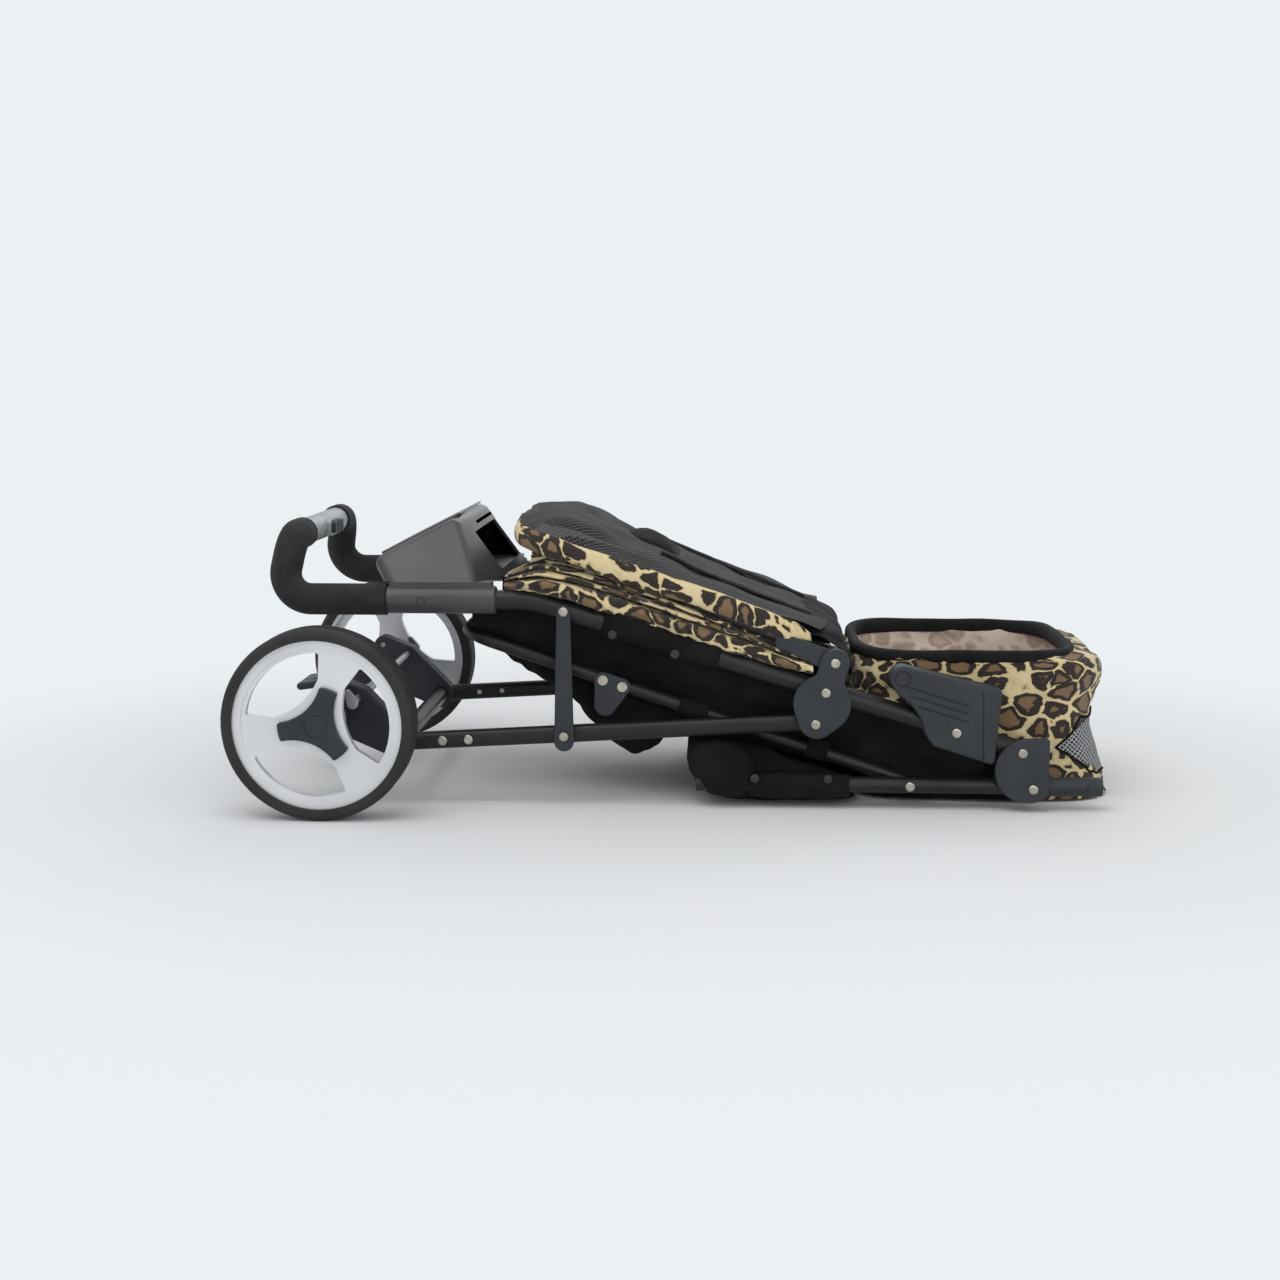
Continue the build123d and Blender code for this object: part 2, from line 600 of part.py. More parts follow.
inner = FRAME_Y - MAIN_D / 2
main_rivets = [rivet(p, inner, PLATE_OUT) for p in (FRONT_RIVET, HINGE_RIVET)]
main_rivets.append(rivet(CANOPY_PIVOT, PLATE_FACE - PLATE_GAP - CANOPY_ARM_T, PLATE_OUT))
main_rivets.append(rivet(LEG_PIVOT, FRAME_Y - LEG_W / 2, PLATE_OUT))
main_rivets.append(rivet(RAIL_PIVOT, FRAME_Y - RAIL_D / 2, PLATE_OUT))
main_rivets.append(rivet(FIN_RIVET, inner, MAIN_FACE + PLATE_T))
main_rivets.append(rivet(LATCH_RIVET, inner, LATCH_FACE + LATCH_T + PLATE_GAP))
nodes["frame_rivets"] = group(*[s for r in main_rivets for s in both(r)])

# Storage latch on the near side
latch_end = polar(STUD, -90, LATCH_TAIL - LATCH_END_R + PLATE_GAP)
latch_out = LATCH_FACE + LATCH_T
latch = slab(disc_hull((LATCH_RIVET, LATCH_TOP_R), (latch_end, LATCH_END_R)), LATCH_FACE, latch_out)
latch -= cross_hole(LATCH_RIVET, RIVET_R + PIVOT_FIT)
latch = blunted(latch, LATCH_T / 4)
knob = peg(STUD, RIVET_HEAD_R, latch_out, latch_out + RIVET_HEAD_T)
latch += fillet(knob.edges().sort_by(Axis.Y)[0], RIVET_HEAD_T * 0.6)
nodes["latch_bar"] = latch

# Rear legs
leg_plane_dir = (math.cos(math.radians(LEG_ANGLE)), 0, math.sin(math.radians(LEG_ANGLE)))
leg_start = polar(LEG_PIVOT, LEG_ANGLE, -LEG_HEAD)
leg_section = SlotOverall(LEG_H, LEG_W, rotation=90)
leg_plane = Plane(origin=near(leg_start, FRAME_Y), x_dir=(0, -1, 0), z_dir=leg_plane_dir)
leg = extrude(leg_plane * leg_section, LEG_HEAD + LEG_LENGTH + LEG_GRIP / 2)
leg_bore = SlotOverall(LEG_H - 2 * TUBE_WALL, LEG_W - 2 * TUBE_WALL, rotation=90)
leg_hollow = extrude(leg_plane * leg_bore, LEG_HEAD + LEG_LENGTH + LEG_GRIP / 2)
bracket_screw = (AXLE[0], AXLE[1] + BRACKET_TOP)
bracket_outline = disc_hull((LEG_END, BRACKET_LEG_R), (AXLE, BRACKET_AXLE_R), (BRAKE, BRACKET_EAR_R),
                            (bracket_screw, BRACKET_EAR_R))
bracket = slab(bracket_outline, BRACKET_IN, BRACKET_OUT)
bracket = blunted(bracket, 2 * EDGE_ROUND)
bracket += peg(AXLE, AXLE_R * 3, BRACKET_OUT, HUB_IN - PLATE_GAP)
bracket -= leg
bracket -= cross_hole(AXLE, AXLE_R)
bracket -= cross_hole(BRAKE, BRAKE_ROD_R + PIVOT_FIT)
bracket -= cross_hole(bracket_screw, RIVET_R)
pair("axle_bracket", bracket)
leg -= leg_hollow
leg -= cross_hole(LEG_PIVOT, RIVET_R + PIVOT_FIT)
leg_rivet_points = [polar(LEG_PIVOT, LEG_ANGLE, LEG_LENGTH - LEG_RIVETS_FROM - i * LEG_RIVETS_APART)
                    for i in range(2)]
for point in leg_rivet_points + [STUD]:
    leg -= cross_hole(point, RIVET_R)
pair("rear_leg", leg)
leg_rivets = [rivet(p, FRAME_Y - LEG_W / 2, LEG_FACE) for p in leg_rivet_points]
leg_rivets.append(rivet(bracket_screw, BRACKET_IN, BRACKET_OUT))
stud = peg(STUD, RIVET_R, FRAME_Y - LEG_W / 2, LEG_FACE)
stud += peg(STUD, STUD_R, LEG_FACE, LATCH_FACE - PLATE_GAP)
nodes["leg_rivets"] = group(*[s for r in leg_rivets for s in both(r)], *both(stud))
nodes["stub_axles"] = group(*both(peg(AXLE, AXLE_R, BRACKET_IN, RIM_OUT - 2 * RIM_STEP)))
cross = straight(near(LEG_END, -BRACKET_IN), near(LEG_END, BRACKET_IN))
nodes["rear_cross_tube"] = swept(cross, CROSS_D / 2, CROSS_D / 2 - TUBE_WALL)

# Foot brake
rod_end = HUB_IN + RING_T / 2 + PAWL_T / 2
rod = swept(straight(near(BRAKE, -rod_end), near(BRAKE, rod_end)), BRAKE_ROD_R)
pawl_tip = polar(BRAKE, 115, PAWL_REACH)
pawl_outline = disc_hull((BRAKE, BRAKE_ROD_R * 1.4), (pawl_tip, BRAKE_ROD_R * 0.6))
pawl = slab(pawl_outline, rod_end - PAWL_T, rod_end)
for solid in both(pawl):
    rod += solid
nodes["brake_rod"] = rod
pedal_end = (BRAKE[0] - PEDAL_REACH, BRAKE[1] - PEDAL_DROP)
pedal_arm = disc_hull((BRAKE, BRAKE_ROD_R + PEDAL_T * 0.7), (pedal_end, PEDAL_T / 2))
pedal = slab(pedal_arm, -PEDAL_ARM_W / 2, PEDAL_ARM_W / 2)
toe_outline = disc_hull((pedal_end, PEDAL_T / 2), (polar(pedal_end, 8, PEDAL_TOE), PEDAL_T / 2))
toe = slab(toe_outline, -PEDAL_HALF_W, PEDAL_HALF_W)
toe_ends = toe.faces().sort_by(Axis.Y)
toe = fillet(toe_ends[0].edges() + toe_ends[-1].edges(), PEDAL_T / 3)
pedal += toe
pedal -= swept(straight(near(BRAKE, -rod_end), near(BRAKE, rod_end)), BRAKE_ROD_R)
nodes["brake_pedal"] = pedal

# Front rails with their wheel sockets
socket_back = RAIL_PIVOT[0] + SOCKET_AHEAD
socket_front = socket_back + SOCKET_LENGTH


def along_rail(x_from, x_to):
    """A straight path along the near rail."""
    return straight((x_from, -FRAME_Y, RAIL_Z), (x_to, -FRAME_Y, RAIL_Z))


rail_path = along_rail(RAIL_BACK_X, socket_back)
rail = swept(rail_path, RAIL_D / 2, RAIL_D / 2 - TUBE_WALL)
rail -= cross_hole(RAIL_PIVOT, RIVET_R + PIVOT_FIT)
rail -= cross_hole(FLOOR_PIVOT, RIVET_R)
pair("front_rail", rail)
socket = swept(along_rail(socket_back - SOCKET_GRIP, socket_front), SOCKET_D / 2)
socket = fillet(socket.edges().sort_by(Axis.X)[-1], EDGE_ROUND)
socket -= swept(rail_path, RAIL_D / 2)
socket -= swept(along_rail(socket_front - SOCKET_DEPTH, socket_front + 1), SOCKET_BORE_R)
socket_button_at = (socket_front - SOCKET_DEPTH / 3, RAIL_Z)
socket -= peg(socket_button_at, SOCKET_BUTTON_R + PIVOT_FIT, FRAME_Y, FRAME_Y + SOCKET_D)
pair("front_socket", socket)
socket_button = peg(socket_button_at, SOCKET_BUTTON_R, FRAME_Y + SOCKET_BORE_R + PLATE_GAP,
                    FRAME_Y + SOCKET_D / 2 + SOCKET_BUTTON_PROUD)
pair("socket_button", fillet(socket_button.edges().sort_by(Axis.Y)[0], SOCKET_BUTTON_PROUD / 2))
tie_at = (RAIL_BACK_X + RAIL_D / 2, RAIL_Z)
rail_tie = swept(straight(near(tie_at, -FRAME_Y), near(tie_at, FRAME_Y)), RAIL_D / 2)
rail_tie -= both(swept(along_rail(0, socket_back), RAIL_D / 2))
rail_tie = rail_tie.solids().sort_by(SortBy.VOLUME)[-1]
nodes["rail_cross_tube"] = rail_tie
nodes["rail_rivets"] = group(*both(rivet(FLOOR_PIVOT, FLOOR_Y - FLOOR_D / 2, RAIL_FACE)))

# Floor frame hinged on the rails
floor_angle = 180 - FLOOR_SLOPE
floor_start = polar(FLOOR_PIVOT, floor_angle, -FLOOR_D)
floor_end = polar(FLOOR_PIVOT, floor_angle, FLOOR_LENGTH)
corner_y = FLOOR_Y - FLOOR_CORNER
floor_run = [near(floor_start, FLOOR_Y), near(floor_end, FLOOR_Y), near(floor_end, corner_y)]
floor_path = rounded_path(floor_run, FLOOR_BEND_R)
floor_tube = swept(floor_path, FLOOR_D / 2, FLOOR_D / 2 - TUBE_WALL)
floor_tube -= cross_hole(FLOOR_PIVOT, RIVET_R + PIVOT_FIT)
brace_points = [polar(FLOOR_PIVOT, floor_angle, BRACE_AT + (i - 0.5) * BRACE_RIVETS_APART) for i in range(2)]
for point in brace_points:
    floor_tube -= cross_hole(point, RIVET_R)
pair("floor_tube", floor_tube)
floor_cross = straight(near(floor_end, -corner_y), near(floor_end, corner_y))
nodes["floor_cross_tube"] = swept(floor_cross, FLOOR_D / 2, FLOOR_D / 2 - TUBE_WALL)
brace_low = polar(polar(FLOOR_PIVOT, floor_angle, BRACE_AT), -90 - FLOOR_SLOPE, BRACE_DROP)
brace_outline = disc_hull(*[(p, BRACE_R) for p in brace_points], (brace_low, BRACE_LOW_R))
brace_out = FLOOR_FACE + BRACE_T
brace = slab(brace_outline, FLOOR_FACE, brace_out)
for point in brace_points:
    brace -= cross_hole(point, RIVET_R)
pair("floor_brace", brace)
brace_rivets = []
for point in brace_points:
    flat_head = peg(point, RIVET_HEAD_R, brace_out, brace_out + FLAT_HEAD_T)
    brace_rivets.append(peg(point, RIVET_R, FLOOR_Y - FLOOR_D / 2, brace_out) + flat_head)
nodes["floor_rivets"] = group(*[s for r in brace_rivets for s in both(r)])

# Canopy hoop, arms and folded cover
canopy_angle = 180 - CANOPY_SLOPE
canopy_tip = polar(CANOPY_PIVOT, canopy_angle, CANOPY_LENGTH)
arm_in = PLATE_FACE - PLATE_GAP - CANOPY_ARM_T
hoop_y = arm_in - CANOPY_HOOP_D / 2
hoop_start = polar(CANOPY_PIVOT, canopy_angle, CANOPY_ARM_R * 2)
hoop_path = rounded_path([near(hoop_start, hoop_y), near(canopy_tip, hoop_y), near(canopy_tip, -hoop_y),
                          near(hoop_start, -hoop_y)], CANOPY_BEND_R)
nodes["canopy_hoop"] = swept(hoop_path, CANOPY_HOOP_D / 2)
arm_end = polar(CANOPY_PIVOT, canopy_angle, CANOPY_ARM)
arm_outline = disc_hull((CANOPY_PIVOT, CANOPY_ARM_R), (arm_end, CANOPY_ARM_R * 0.7))
arm = slab(arm_outline, arm_in, arm_in + CANOPY_ARM_T)
arm -= cross_hole(CANOPY_PIVOT, RIVET_R + PIVOT_FIT)
pair("canopy_arm", arm)

cover_half = hoop_y
lift = canopy_angle - 90
seat = polar(CANOPY_PIVOT, lift, CANOPY_HOOP_D / 2 + SOFT_GAP)
cover_tip = polar(seat, canopy_angle, CANOPY_LENGTH)
cover_root = polar(seat, canopy_angle, CANOPY_ARM_R * 2)


def over_hoop(share, rise):
    """A point above the hoop at this share of its length."""
    return polar(polar(CANOPY_PIVOT, canopy_angle, CANOPY_LENGTH * share), lift, rise)


cover_line = [
    cover_root,
    polar(cover_root, lift, CANOPY_ROOT_RISE),
    over_hoop(0.7, CANOPY_MID_RISE),
    over_hoop(0.86, CANOPY_PEAK_RISE),
    over_hoop(0.94, CANOPY_BACK_RISE),
    over_hoop(1.0, CANOPY_TIP_RISE),
    cover_tip,
]
cover = extrude(layer(0) * make_face(Polyline(*cover_line, close=True)), cover_half, both=True)
dome_line = [(0.0, CANOPY_PEAK_RISE + SOFT_GAP), (0.5, CANOPY_PEAK_RISE), (0.8, CANOPY_MID_RISE),
             (1.0, CANOPY_EDGE_RISE), (1.0, 0.0)]
dome_right = [(share * cover_half, rise) for share, rise in dome_line]
dome_left = [(-across, rise) for across, rise in reversed(dome_right[1:])]
dome = make_face(Polyline(*dome_right, *dome_left, close=True))
cover &= extrude(facing(CANOPY_PIVOT, canopy_angle) * Rot(0, 0, 180) * dome, 2 * CANOPY_LENGTH, both=True)
nodes["canopy_cover"] = cover

# Bag: tub, padded floor, back panel and storage basket
tub_front = WHEEL_R - AXLE[0]
tub_base = (TUB_BACK_X + tub_front) / 2
tub_length = tub_front - TUB_BACK_X


def tub_form(inset, floor):
    """The tub's outer or inner form, lofted from its floor to its rim."""
    low = RectangleRounded(tub_length - 2 * inset, 2 * (TUB_HALF_BASE - inset), TUB_CORNER_R - inset)
    high_length = tub_length - TUB_LEAN - 2 * inset
    high = RectangleRounded(high_length, 2 * (TUB_HALF_RIM - inset), TUB_CORNER_R - inset)
    sections = [Pos(tub_base, 0, floor) * low, Pos(tub_base - TUB_LEAN / 2, 0, TUB_RIM_Z) * high]
    return loft(sections)


tub = tub_form(0, 0) - tub_form(TUB_WALL, TUB_WALL)
nodes["bag_tub"] = tub

pad_front = TUB_BACK_X - SOFT_GAP
pad_length = pad_front - FLOOR_PAD_BACK_X
pad_shape = RectangleRounded(pad_length, 2 * TUB_HALF_BASE, FLOOR_PAD_T)
floor_pad = extrude(Pos((pad_front + FLOOR_PAD_BACK_X) / 2, 0) * pad_shape, FLOOR_PAD_T)
nodes["bag_floor"] = fillet(floor_pad.edges().group_by(Axis.Z)[-1], FLOOR_PAD_T * 0.4)

basket_back = RAIL_BACK_X + RAIL_D + SOFT_GAP
basket_line = [
    polar(floor_end, -FLOOR_SLOPE, 2.4 * FLOOR_D),
    polar(LATCH_RIVET, -90, MAIN_D),
    polar(HINGE_RIVET, -90, MAIN_D),
    (LEG_PIVOT[0] + RAIL_D, RAIL_Z + RAIL_D),
    (LEG_PIVOT[0], FLOOR_PAD_T + SOFT_GAP),
    (basket_back, FLOOR_PAD_T + SOFT_GAP),
    (basket_back, RAIL_Z + RAIL_D),
    (RAIL_BACK_X - RAIL_D, RAIL_Z + RAIL_D),
    (STUD[0] + BASKET_SAG_X, STUD[1] - BASKET_SAG_Z),
    (STUD[0] - LEG_H / 2, STUD[1] + BASKET_SAG_Z),
]
basket_side = make_face(Polyline(*basket_line, close=True))
basket_side = fillet(basket_side.vertices(), BASKET_ROUND)
nodes["storage_basket"] = extrude(layer(0) * basket_side, BASKET_HALF, both=True)

panel_under = [polar(polar(FRONT_RIVET, BACK_ALONG_MAIN, along), 90, MAIN_D * 0.7)
               for along in (LATCH_AT + PANEL_PAST, HINGE_AT + MAIN_D)]
panel_line = panel_under + [polar(p, 90, PANEL_T) for p in reversed(panel_under)]
panel = extrude(layer(0) * make_face(Polyline(*panel_line, close=True)), BACK_PANEL_HALF, both=True)
nodes["back_panel"] = panel

os.makedirs("parts", exist_ok=True)
for name, solid in nodes.items():
    export_step(solid, f"parts/{name}.step")
print(len(nodes), "nodes")
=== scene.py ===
import json
import math
import bpy
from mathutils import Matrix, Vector, noise


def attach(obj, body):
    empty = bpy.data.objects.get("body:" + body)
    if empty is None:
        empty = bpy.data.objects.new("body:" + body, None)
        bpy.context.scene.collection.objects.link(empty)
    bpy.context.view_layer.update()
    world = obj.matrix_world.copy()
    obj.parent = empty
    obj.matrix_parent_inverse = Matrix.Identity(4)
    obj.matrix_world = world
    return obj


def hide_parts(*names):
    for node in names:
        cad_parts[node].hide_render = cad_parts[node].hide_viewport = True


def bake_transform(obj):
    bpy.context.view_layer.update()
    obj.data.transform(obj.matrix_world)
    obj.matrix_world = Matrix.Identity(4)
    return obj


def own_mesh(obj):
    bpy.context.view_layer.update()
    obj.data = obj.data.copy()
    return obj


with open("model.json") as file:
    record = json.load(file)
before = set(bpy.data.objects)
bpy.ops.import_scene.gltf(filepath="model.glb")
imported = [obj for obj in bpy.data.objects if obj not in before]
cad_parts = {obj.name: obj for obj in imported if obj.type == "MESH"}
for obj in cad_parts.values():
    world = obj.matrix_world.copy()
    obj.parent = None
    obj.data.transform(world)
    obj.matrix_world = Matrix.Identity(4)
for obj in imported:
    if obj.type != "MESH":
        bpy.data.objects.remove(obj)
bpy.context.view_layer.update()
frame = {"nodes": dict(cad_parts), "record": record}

MM = 0.001

# Lines of the folded frame in the side view, millimetres
MAIN_Y = 156.0
MAIN_SLOPE = 0.3038
MAIN_FRONT_X = 382.4
MAIN_FRONT_Z = 66.4
MAIN_BEND_X = -100.0
MAIN_BEND_RUN = 120.0
MAIN_TOP_Z = 231.0
RAIL_Z = 26.0
FLOOR_Y = 136.0
FLOOR_PIVOT_X = 261.0
FLOOR_SLOPE = 0.3327


def main_z(x):
    """Height of the main tube's axis above the floor."""
    low = MAIN_FRONT_Z + (MAIN_FRONT_X - x) * MAIN_SLOPE
    if x >= MAIN_BEND_X:
        return low
    bend = min((MAIN_BEND_X - x) / MAIN_BEND_RUN, 1.0)
    return min(low, MAIN_TOP_Z) * (1 - bend) + MAIN_TOP_Z * bend


def floor_z(x):
    """Height of the floor frame's tubes above the floor."""
    return RAIL_Z + (FLOOR_PIVOT_X - x) * FLOOR_SLOPE


# Materials
def coat(name, colour, rough, metal=0.0, shine=0.5):
    """A new material with its shader, and coordinates to read."""
    mat = bpy.data.materials.new(name)
    mat.use_nodes = True
    shader = mat.node_tree.nodes["Principled BSDF"]
    shader.inputs["Base Color"].default_value = (*colour, 1)
    shader.inputs["Roughness"].default_value = rough
    shader.inputs["Metallic"].default_value = metal
    shader.inputs["Specular IOR Level"].default_value = shine
    place = mat.node_tree.nodes.new("ShaderNodeTexCoord")
    return mat, mat.node_tree.nodes, mat.node_tree.links, shader, place


def grain(parts, scale, depth, strength, detail=3.0):
    """A fine random relief on the surface."""
    mat, nodes, links, shader, place = parts
    speckle = nodes.new("ShaderNodeTexNoise")
    speckle.inputs["Scale"].default_value = scale
    speckle.inputs["Detail"].default_value = detail
    bump = nodes.new("ShaderNodeBump")
    bump.inputs["Strength"].default_value = strength
    bump.inputs["Distance"].default_value = depth
    links.new(place.outputs["Object"], speckle.inputs["Vector"])
    links.new(speckle.outputs["Fac"], bump.inputs["Height"])
    links.new(bump.outputs["Normal"], shader.inputs["Normal"])


def tint(parts, colour_a, colour_b, scale):
    """Two close colours in soft patches."""
    mat, nodes, links, shader, place = parts
    patches = nodes.new("ShaderNodeTexNoise")
    patches.inputs["Scale"].default_value = scale
    patches.inputs["Detail"].default_value = 4.0
    ramp = nodes.new("ShaderNodeValToRGB")
    ramp.color_ramp.elements[0].position = 0.35
    ramp.color_ramp.elements[0].color = (*colour_a, 1)
    ramp.color_ramp.elements[1].position = 0.65
    ramp.color_ramp.elements[1].color = (*colour_b, 1)
    links.new(place.outputs["Object"], patches.inputs["Vector"])
    links.new(patches.outputs["Fac"], ramp.inputs["Fac"])
    links.new(ramp.outputs["Color"], shader.inputs["Base Color"])


def worn(parts, scale, low, high):
    """Roughness that varies a little from place to place."""
    mat, nodes, links, shader, place = parts
    rub = nodes.new("ShaderNodeTexNoise")
    rub.inputs["Scale"].default_value = scale
    span = nodes.new("ShaderNodeMapRange")
    span.inputs["To Min"].default_value = low
    span.inputs["To Max"].default_value = high
    links.new(place.outputs["Object"], rub.inputs["Vector"])
    links.new(rub.outputs["Fac"], span.inputs["Value"])
    links.new(span.outputs["Result"], shader.inputs["Roughness"])


def weave(parts, pitch, depth, strength):
    """Crossing threads that follow the cloth's own map, which is in metres."""
    mat, nodes, links, shader, place = parts
    threads = []
    for direction in ("X", "Y"):
        wave = nodes.new("ShaderNodeTexWave")
        wave.bands_direction = direction
        wave.inputs["Scale"].default_value = 0.5 / pitch
        links.new(place.outputs["UV"], wave.inputs["Vector"])
        threads.append(wave)
    both = nodes.new("ShaderNodeMath")
    both.operation = "MAXIMUM"
    bump = nodes.new("ShaderNodeBump")
    bump.inputs["Strength"].default_value = strength
    bump.inputs["Distance"].default_value = depth
    links.new(threads[0].outputs["Fac"], both.inputs[0])
    links.new(threads[1].outputs["Fac"], both.inputs[1])
    links.new(both.outputs["Value"], bump.inputs["Height"])
    links.new(bump.outputs["Normal"], shader.inputs["Normal"])


# Shape of the printed spots: ragged edge, roundness, difference in size, size in all, flattening, bend
SPOT_FRAY = 0.22
SPOT_ROUNDING = -0.35
SPOT_VARIETY = -0.11
SPOT_LEVEL = 0.20
SPOT_SQUEEZE = 1.25
SPOT_WANDER = 0.2


def plus_share(nodes, links, value, share, base):
    """A base value plus a share of another."""
    node = nodes.new("ShaderNodeMath")
    node.operation = "MULTIPLY_ADD"
    node.inputs[1].default_value = share
    links.new(value, node.inputs[0])
    links.new(base, node.inputs[2])
    return node.outputs["Value"]


def spotted_cloth(name, ground, ground_b, ring, heart, spot_size, soft, gap, heart_at):
    """Animal print: dark spots, some with brown hearts, close together on a pale ground."""
    parts = coat(name, ground, 0.85)
    mat, nodes, links, shader, place = parts
    shader.inputs["Sheen Weight"].default_value = 0.2
    size = nodes.new("ShaderNodeMapping")
    size.inputs["Scale"].default_value = (1 / spot_size, SPOT_SQUEEZE / spot_size, 1 / spot_size)
    links.new(place.outputs["UV"], size.inputs["Vector"])
    wander = nodes.new("ShaderNodeTexNoise")
    wander.inputs["Scale"].default_value = 1.3
    wander.inputs["Detail"].default_value = 2.0
    links.new(size.outputs["Vector"], wander.inputs["Vector"])
    shift = nodes.new("ShaderNodeMixRGB")
    shift.blend_type = "LINEAR_LIGHT"
    shift.inputs["Fac"].default_value = SPOT_WANDER
    links.new(size.outputs["Vector"], shift.inputs["Color1"])
    links.new(wander.outputs["Color"], shift.inputs["Color2"])
    border = nodes.new("ShaderNodeTexVoronoi")
    border.feature = "DISTANCE_TO_EDGE"
    cells = nodes.new("ShaderNodeTexVoronoi")
    for lattice in (border, cells):
        lattice.inputs["Scale"].default_value = 1.0
        lattice.inputs["Randomness"].default_value = 0.85
        links.new(shift.outputs["Color"], lattice.inputs["Vector"])
    fray = nodes.new("ShaderNodeTexNoise")
    fray.inputs["Scale"].default_value = 3.6
    fray.inputs["Detail"].default_value = 2.0
    links.new(size.outputs["Vector"], fray.inputs["Vector"])
    ragged = plus_share(nodes, links, fray.outputs["Fac"], SPOT_FRAY, border.outputs["Distance"])
    rounded = plus_share(nodes, links, cells.outputs["Distance"], SPOT_ROUNDING, ragged)
    lone = nodes.new("ShaderNodeSeparateColor")
    links.new(cells.outputs["Color"], lone.inputs["Color"])
    own = plus_share(nodes, links, lone.outputs["Red"], SPOT_VARIETY, rounded)
    level = nodes.new("ShaderNodeMath")
    level.operation = "ADD"
    level.inputs[1].default_value = SPOT_LEVEL
    links.new(own, level.inputs[0])
    ramp = nodes.new("ShaderNodeValToRGB")
    stops = ramp.color_ramp.elements
    stops[0].position = 0.0
    stops[0].color = (*ground_b, 1)
    stops[1].position = gap
    stops[1].color = (*ground, 1)
    for at, colour in ((gap + soft, ring), (gap + heart_at, ring), (gap + heart_at + soft, heart)):
        stop = stops.new(at)
        stop.color = (*colour, 1)
    links.new(level.outputs["Value"], ramp.inputs["Fac"])
    links.new(ramp.outputs["Color"], shader.inputs["Base Color"])
    weave(parts, 0.0011, 0.0003, 0.35)
    return mat


NET_EDGE = 0.06


def netting(name, colour, hole_shade, pitch, open_share, clear):
    """Open mesh cloth: round holes in a staggered grid, over the cloth's own map, with painted shade in the
    holes.
    """
    parts = coat(name, colour, 0.7, shine=0.2)
    mat, nodes, links, shader, place = parts
    size = nodes.new("ShaderNodeMapping")
    size.inputs["Scale"].default_value = (1 / pitch, 1 / pitch, 1 / pitch)
    size.inputs["Rotation"].default_value = (0, 0, math.radians(45))
    links.new(place.outputs["UV"], size.inputs["Vector"])
    holes = nodes.new("ShaderNodeTexVoronoi")
    holes.inputs["Scale"].default_value = 1.0
    holes.inputs["Randomness"].default_value = 0.0
    links.new(size.outputs["Vector"], holes.inputs["Vector"])
    thread = nodes.new("ShaderNodeMapRange")
    thread.inputs["From Min"].default_value = open_share - NET_EDGE
    thread.inputs["From Max"].default_value = open_share + NET_EDGE
    links.new(holes.outputs["Distance"], thread.inputs["Value"])
    cover = nodes.new("ShaderNodeMapRange")
    cover.inputs["To Min"].default_value = 1 - clear
    links.new(thread.outputs["Result"], cover.inputs["Value"])
    links.new(cover.outputs["Result"], shader.inputs["Alpha"])
    # Painted shade: the holes are partly opaque and take the dark second colour, standing for the shade seen
    # through the net; the threads keep the net's own colour.
    yarn = nodes.new("ShaderNodeValToRGB")
    yarn.color_ramp.elements[0].color = (*hole_shade, 1)
    yarn.color_ramp.elements[1].color = (*colour, 1)
    links.new(thread.outputs["Result"], yarn.inputs["Fac"])
    links.new(yarn.outputs["Color"], shader.inputs["Base Color"])
    bump = nodes.new("ShaderNodeBump")
    bump.inputs["Distance"].default_value = 0.0006
    links.new(holes.outputs["Distance"], bump.inputs["Height"])
    links.new(bump.outputs["Normal"], shader.inputs["Normal"])
    return mat


powder = coat("powder_black", (0.013, 0.013, 0.014), 0.36, shine=0.3)
grain(powder, 900, 0.0002, 0.25)
tint(powder, (0.010, 0.010, 0.011), (0.018, 0.018, 0.018), 14)
worn(powder, 30, 0.28, 0.46)
moulded = coat("moulded_dark", (0.032, 0.035, 0.042), 0.5, shine=0.4)
grain(moulded, 1400, 0.0002, 0.35)
tint(moulded, (0.018, 0.021, 0.026), (0.028, 0.032, 0.039), 22)
tray_plastic = coat("tray_plastic", (0.060, 0.063, 0.068), 0.38)
grain(tray_plastic, 1600, 0.0002, 0.3)
tint(tray_plastic, (0.040, 0.043, 0.047), (0.060, 0.063, 0.068), 16)
silver = coat("silver_paint", (0.74, 0.75, 0.77), 0.3, 0.35)
grain(silver, 600, 0.0001, 0.15)
tint(silver, (0.70, 0.71, 0.73), (0.80, 0.81, 0.83), 9)
worn(silver, 20, 0.24, 0.38)
rubber = coat("tyre_rubber", (0.018, 0.018, 0.019), 0.72)
grain(rubber, 700, 0.0004, 0.4)
tint(rubber, (0.011, 0.011, 0.012), (0.021, 0.021, 0.022), 25)
foam = coat("grip_foam", (0.020, 0.020, 0.021), 0.92)
grain(foam, 1500, 0.0007, 0.8, 6.0)
tint(foam, (0.011, 0.011, 0.012), (0.022, 0.022, 0.023), 60)
nickel = coat("warm_nickel", (0.62, 0.54, 0.42), 0.32, 1.0)
grain(nickel, 500, 0.0002, 0.3)
tint(nickel, (0.33, 0.30, 0.25), (0.50, 0.47, 0.40), 60)
steel = coat("plain_steel", (0.42, 0.42, 0.43), 0.35, 1.0)
grain(steel, 500, 0.0002, 0.3)
tint(steel, (0.36, 0.36, 0.37), (0.5, 0.5, 0.5), 30)
grey_bar = coat("bar_grey", (0.30, 0.31, 0.32), 0.4, 0.3)
grain(grey_bar, 900, 0.0002, 0.3)
tint(grey_bar, (0.26, 0.27, 0.28), (0.36, 0.37, 0.38), 20)
black_cloth = coat("black_cloth", (0.014, 0.014, 0.015), 0.9, shine=0.15)
weave(black_cloth, 0.0012, 0.0004, 0.5)
tint(black_cloth, (0.006, 0.006, 0.0065), (0.013, 0.013, 0.0135), 18)
zip_tape = coat("zip_tape", (0.012, 0.012, 0.013), 0.75, shine=0.2)
tint(zip_tape, (0.006, 0.006, 0.007), (0.014, 0.014, 0.015), 40)
weave(zip_tape, 0.0024, 0.0008, 0.8)
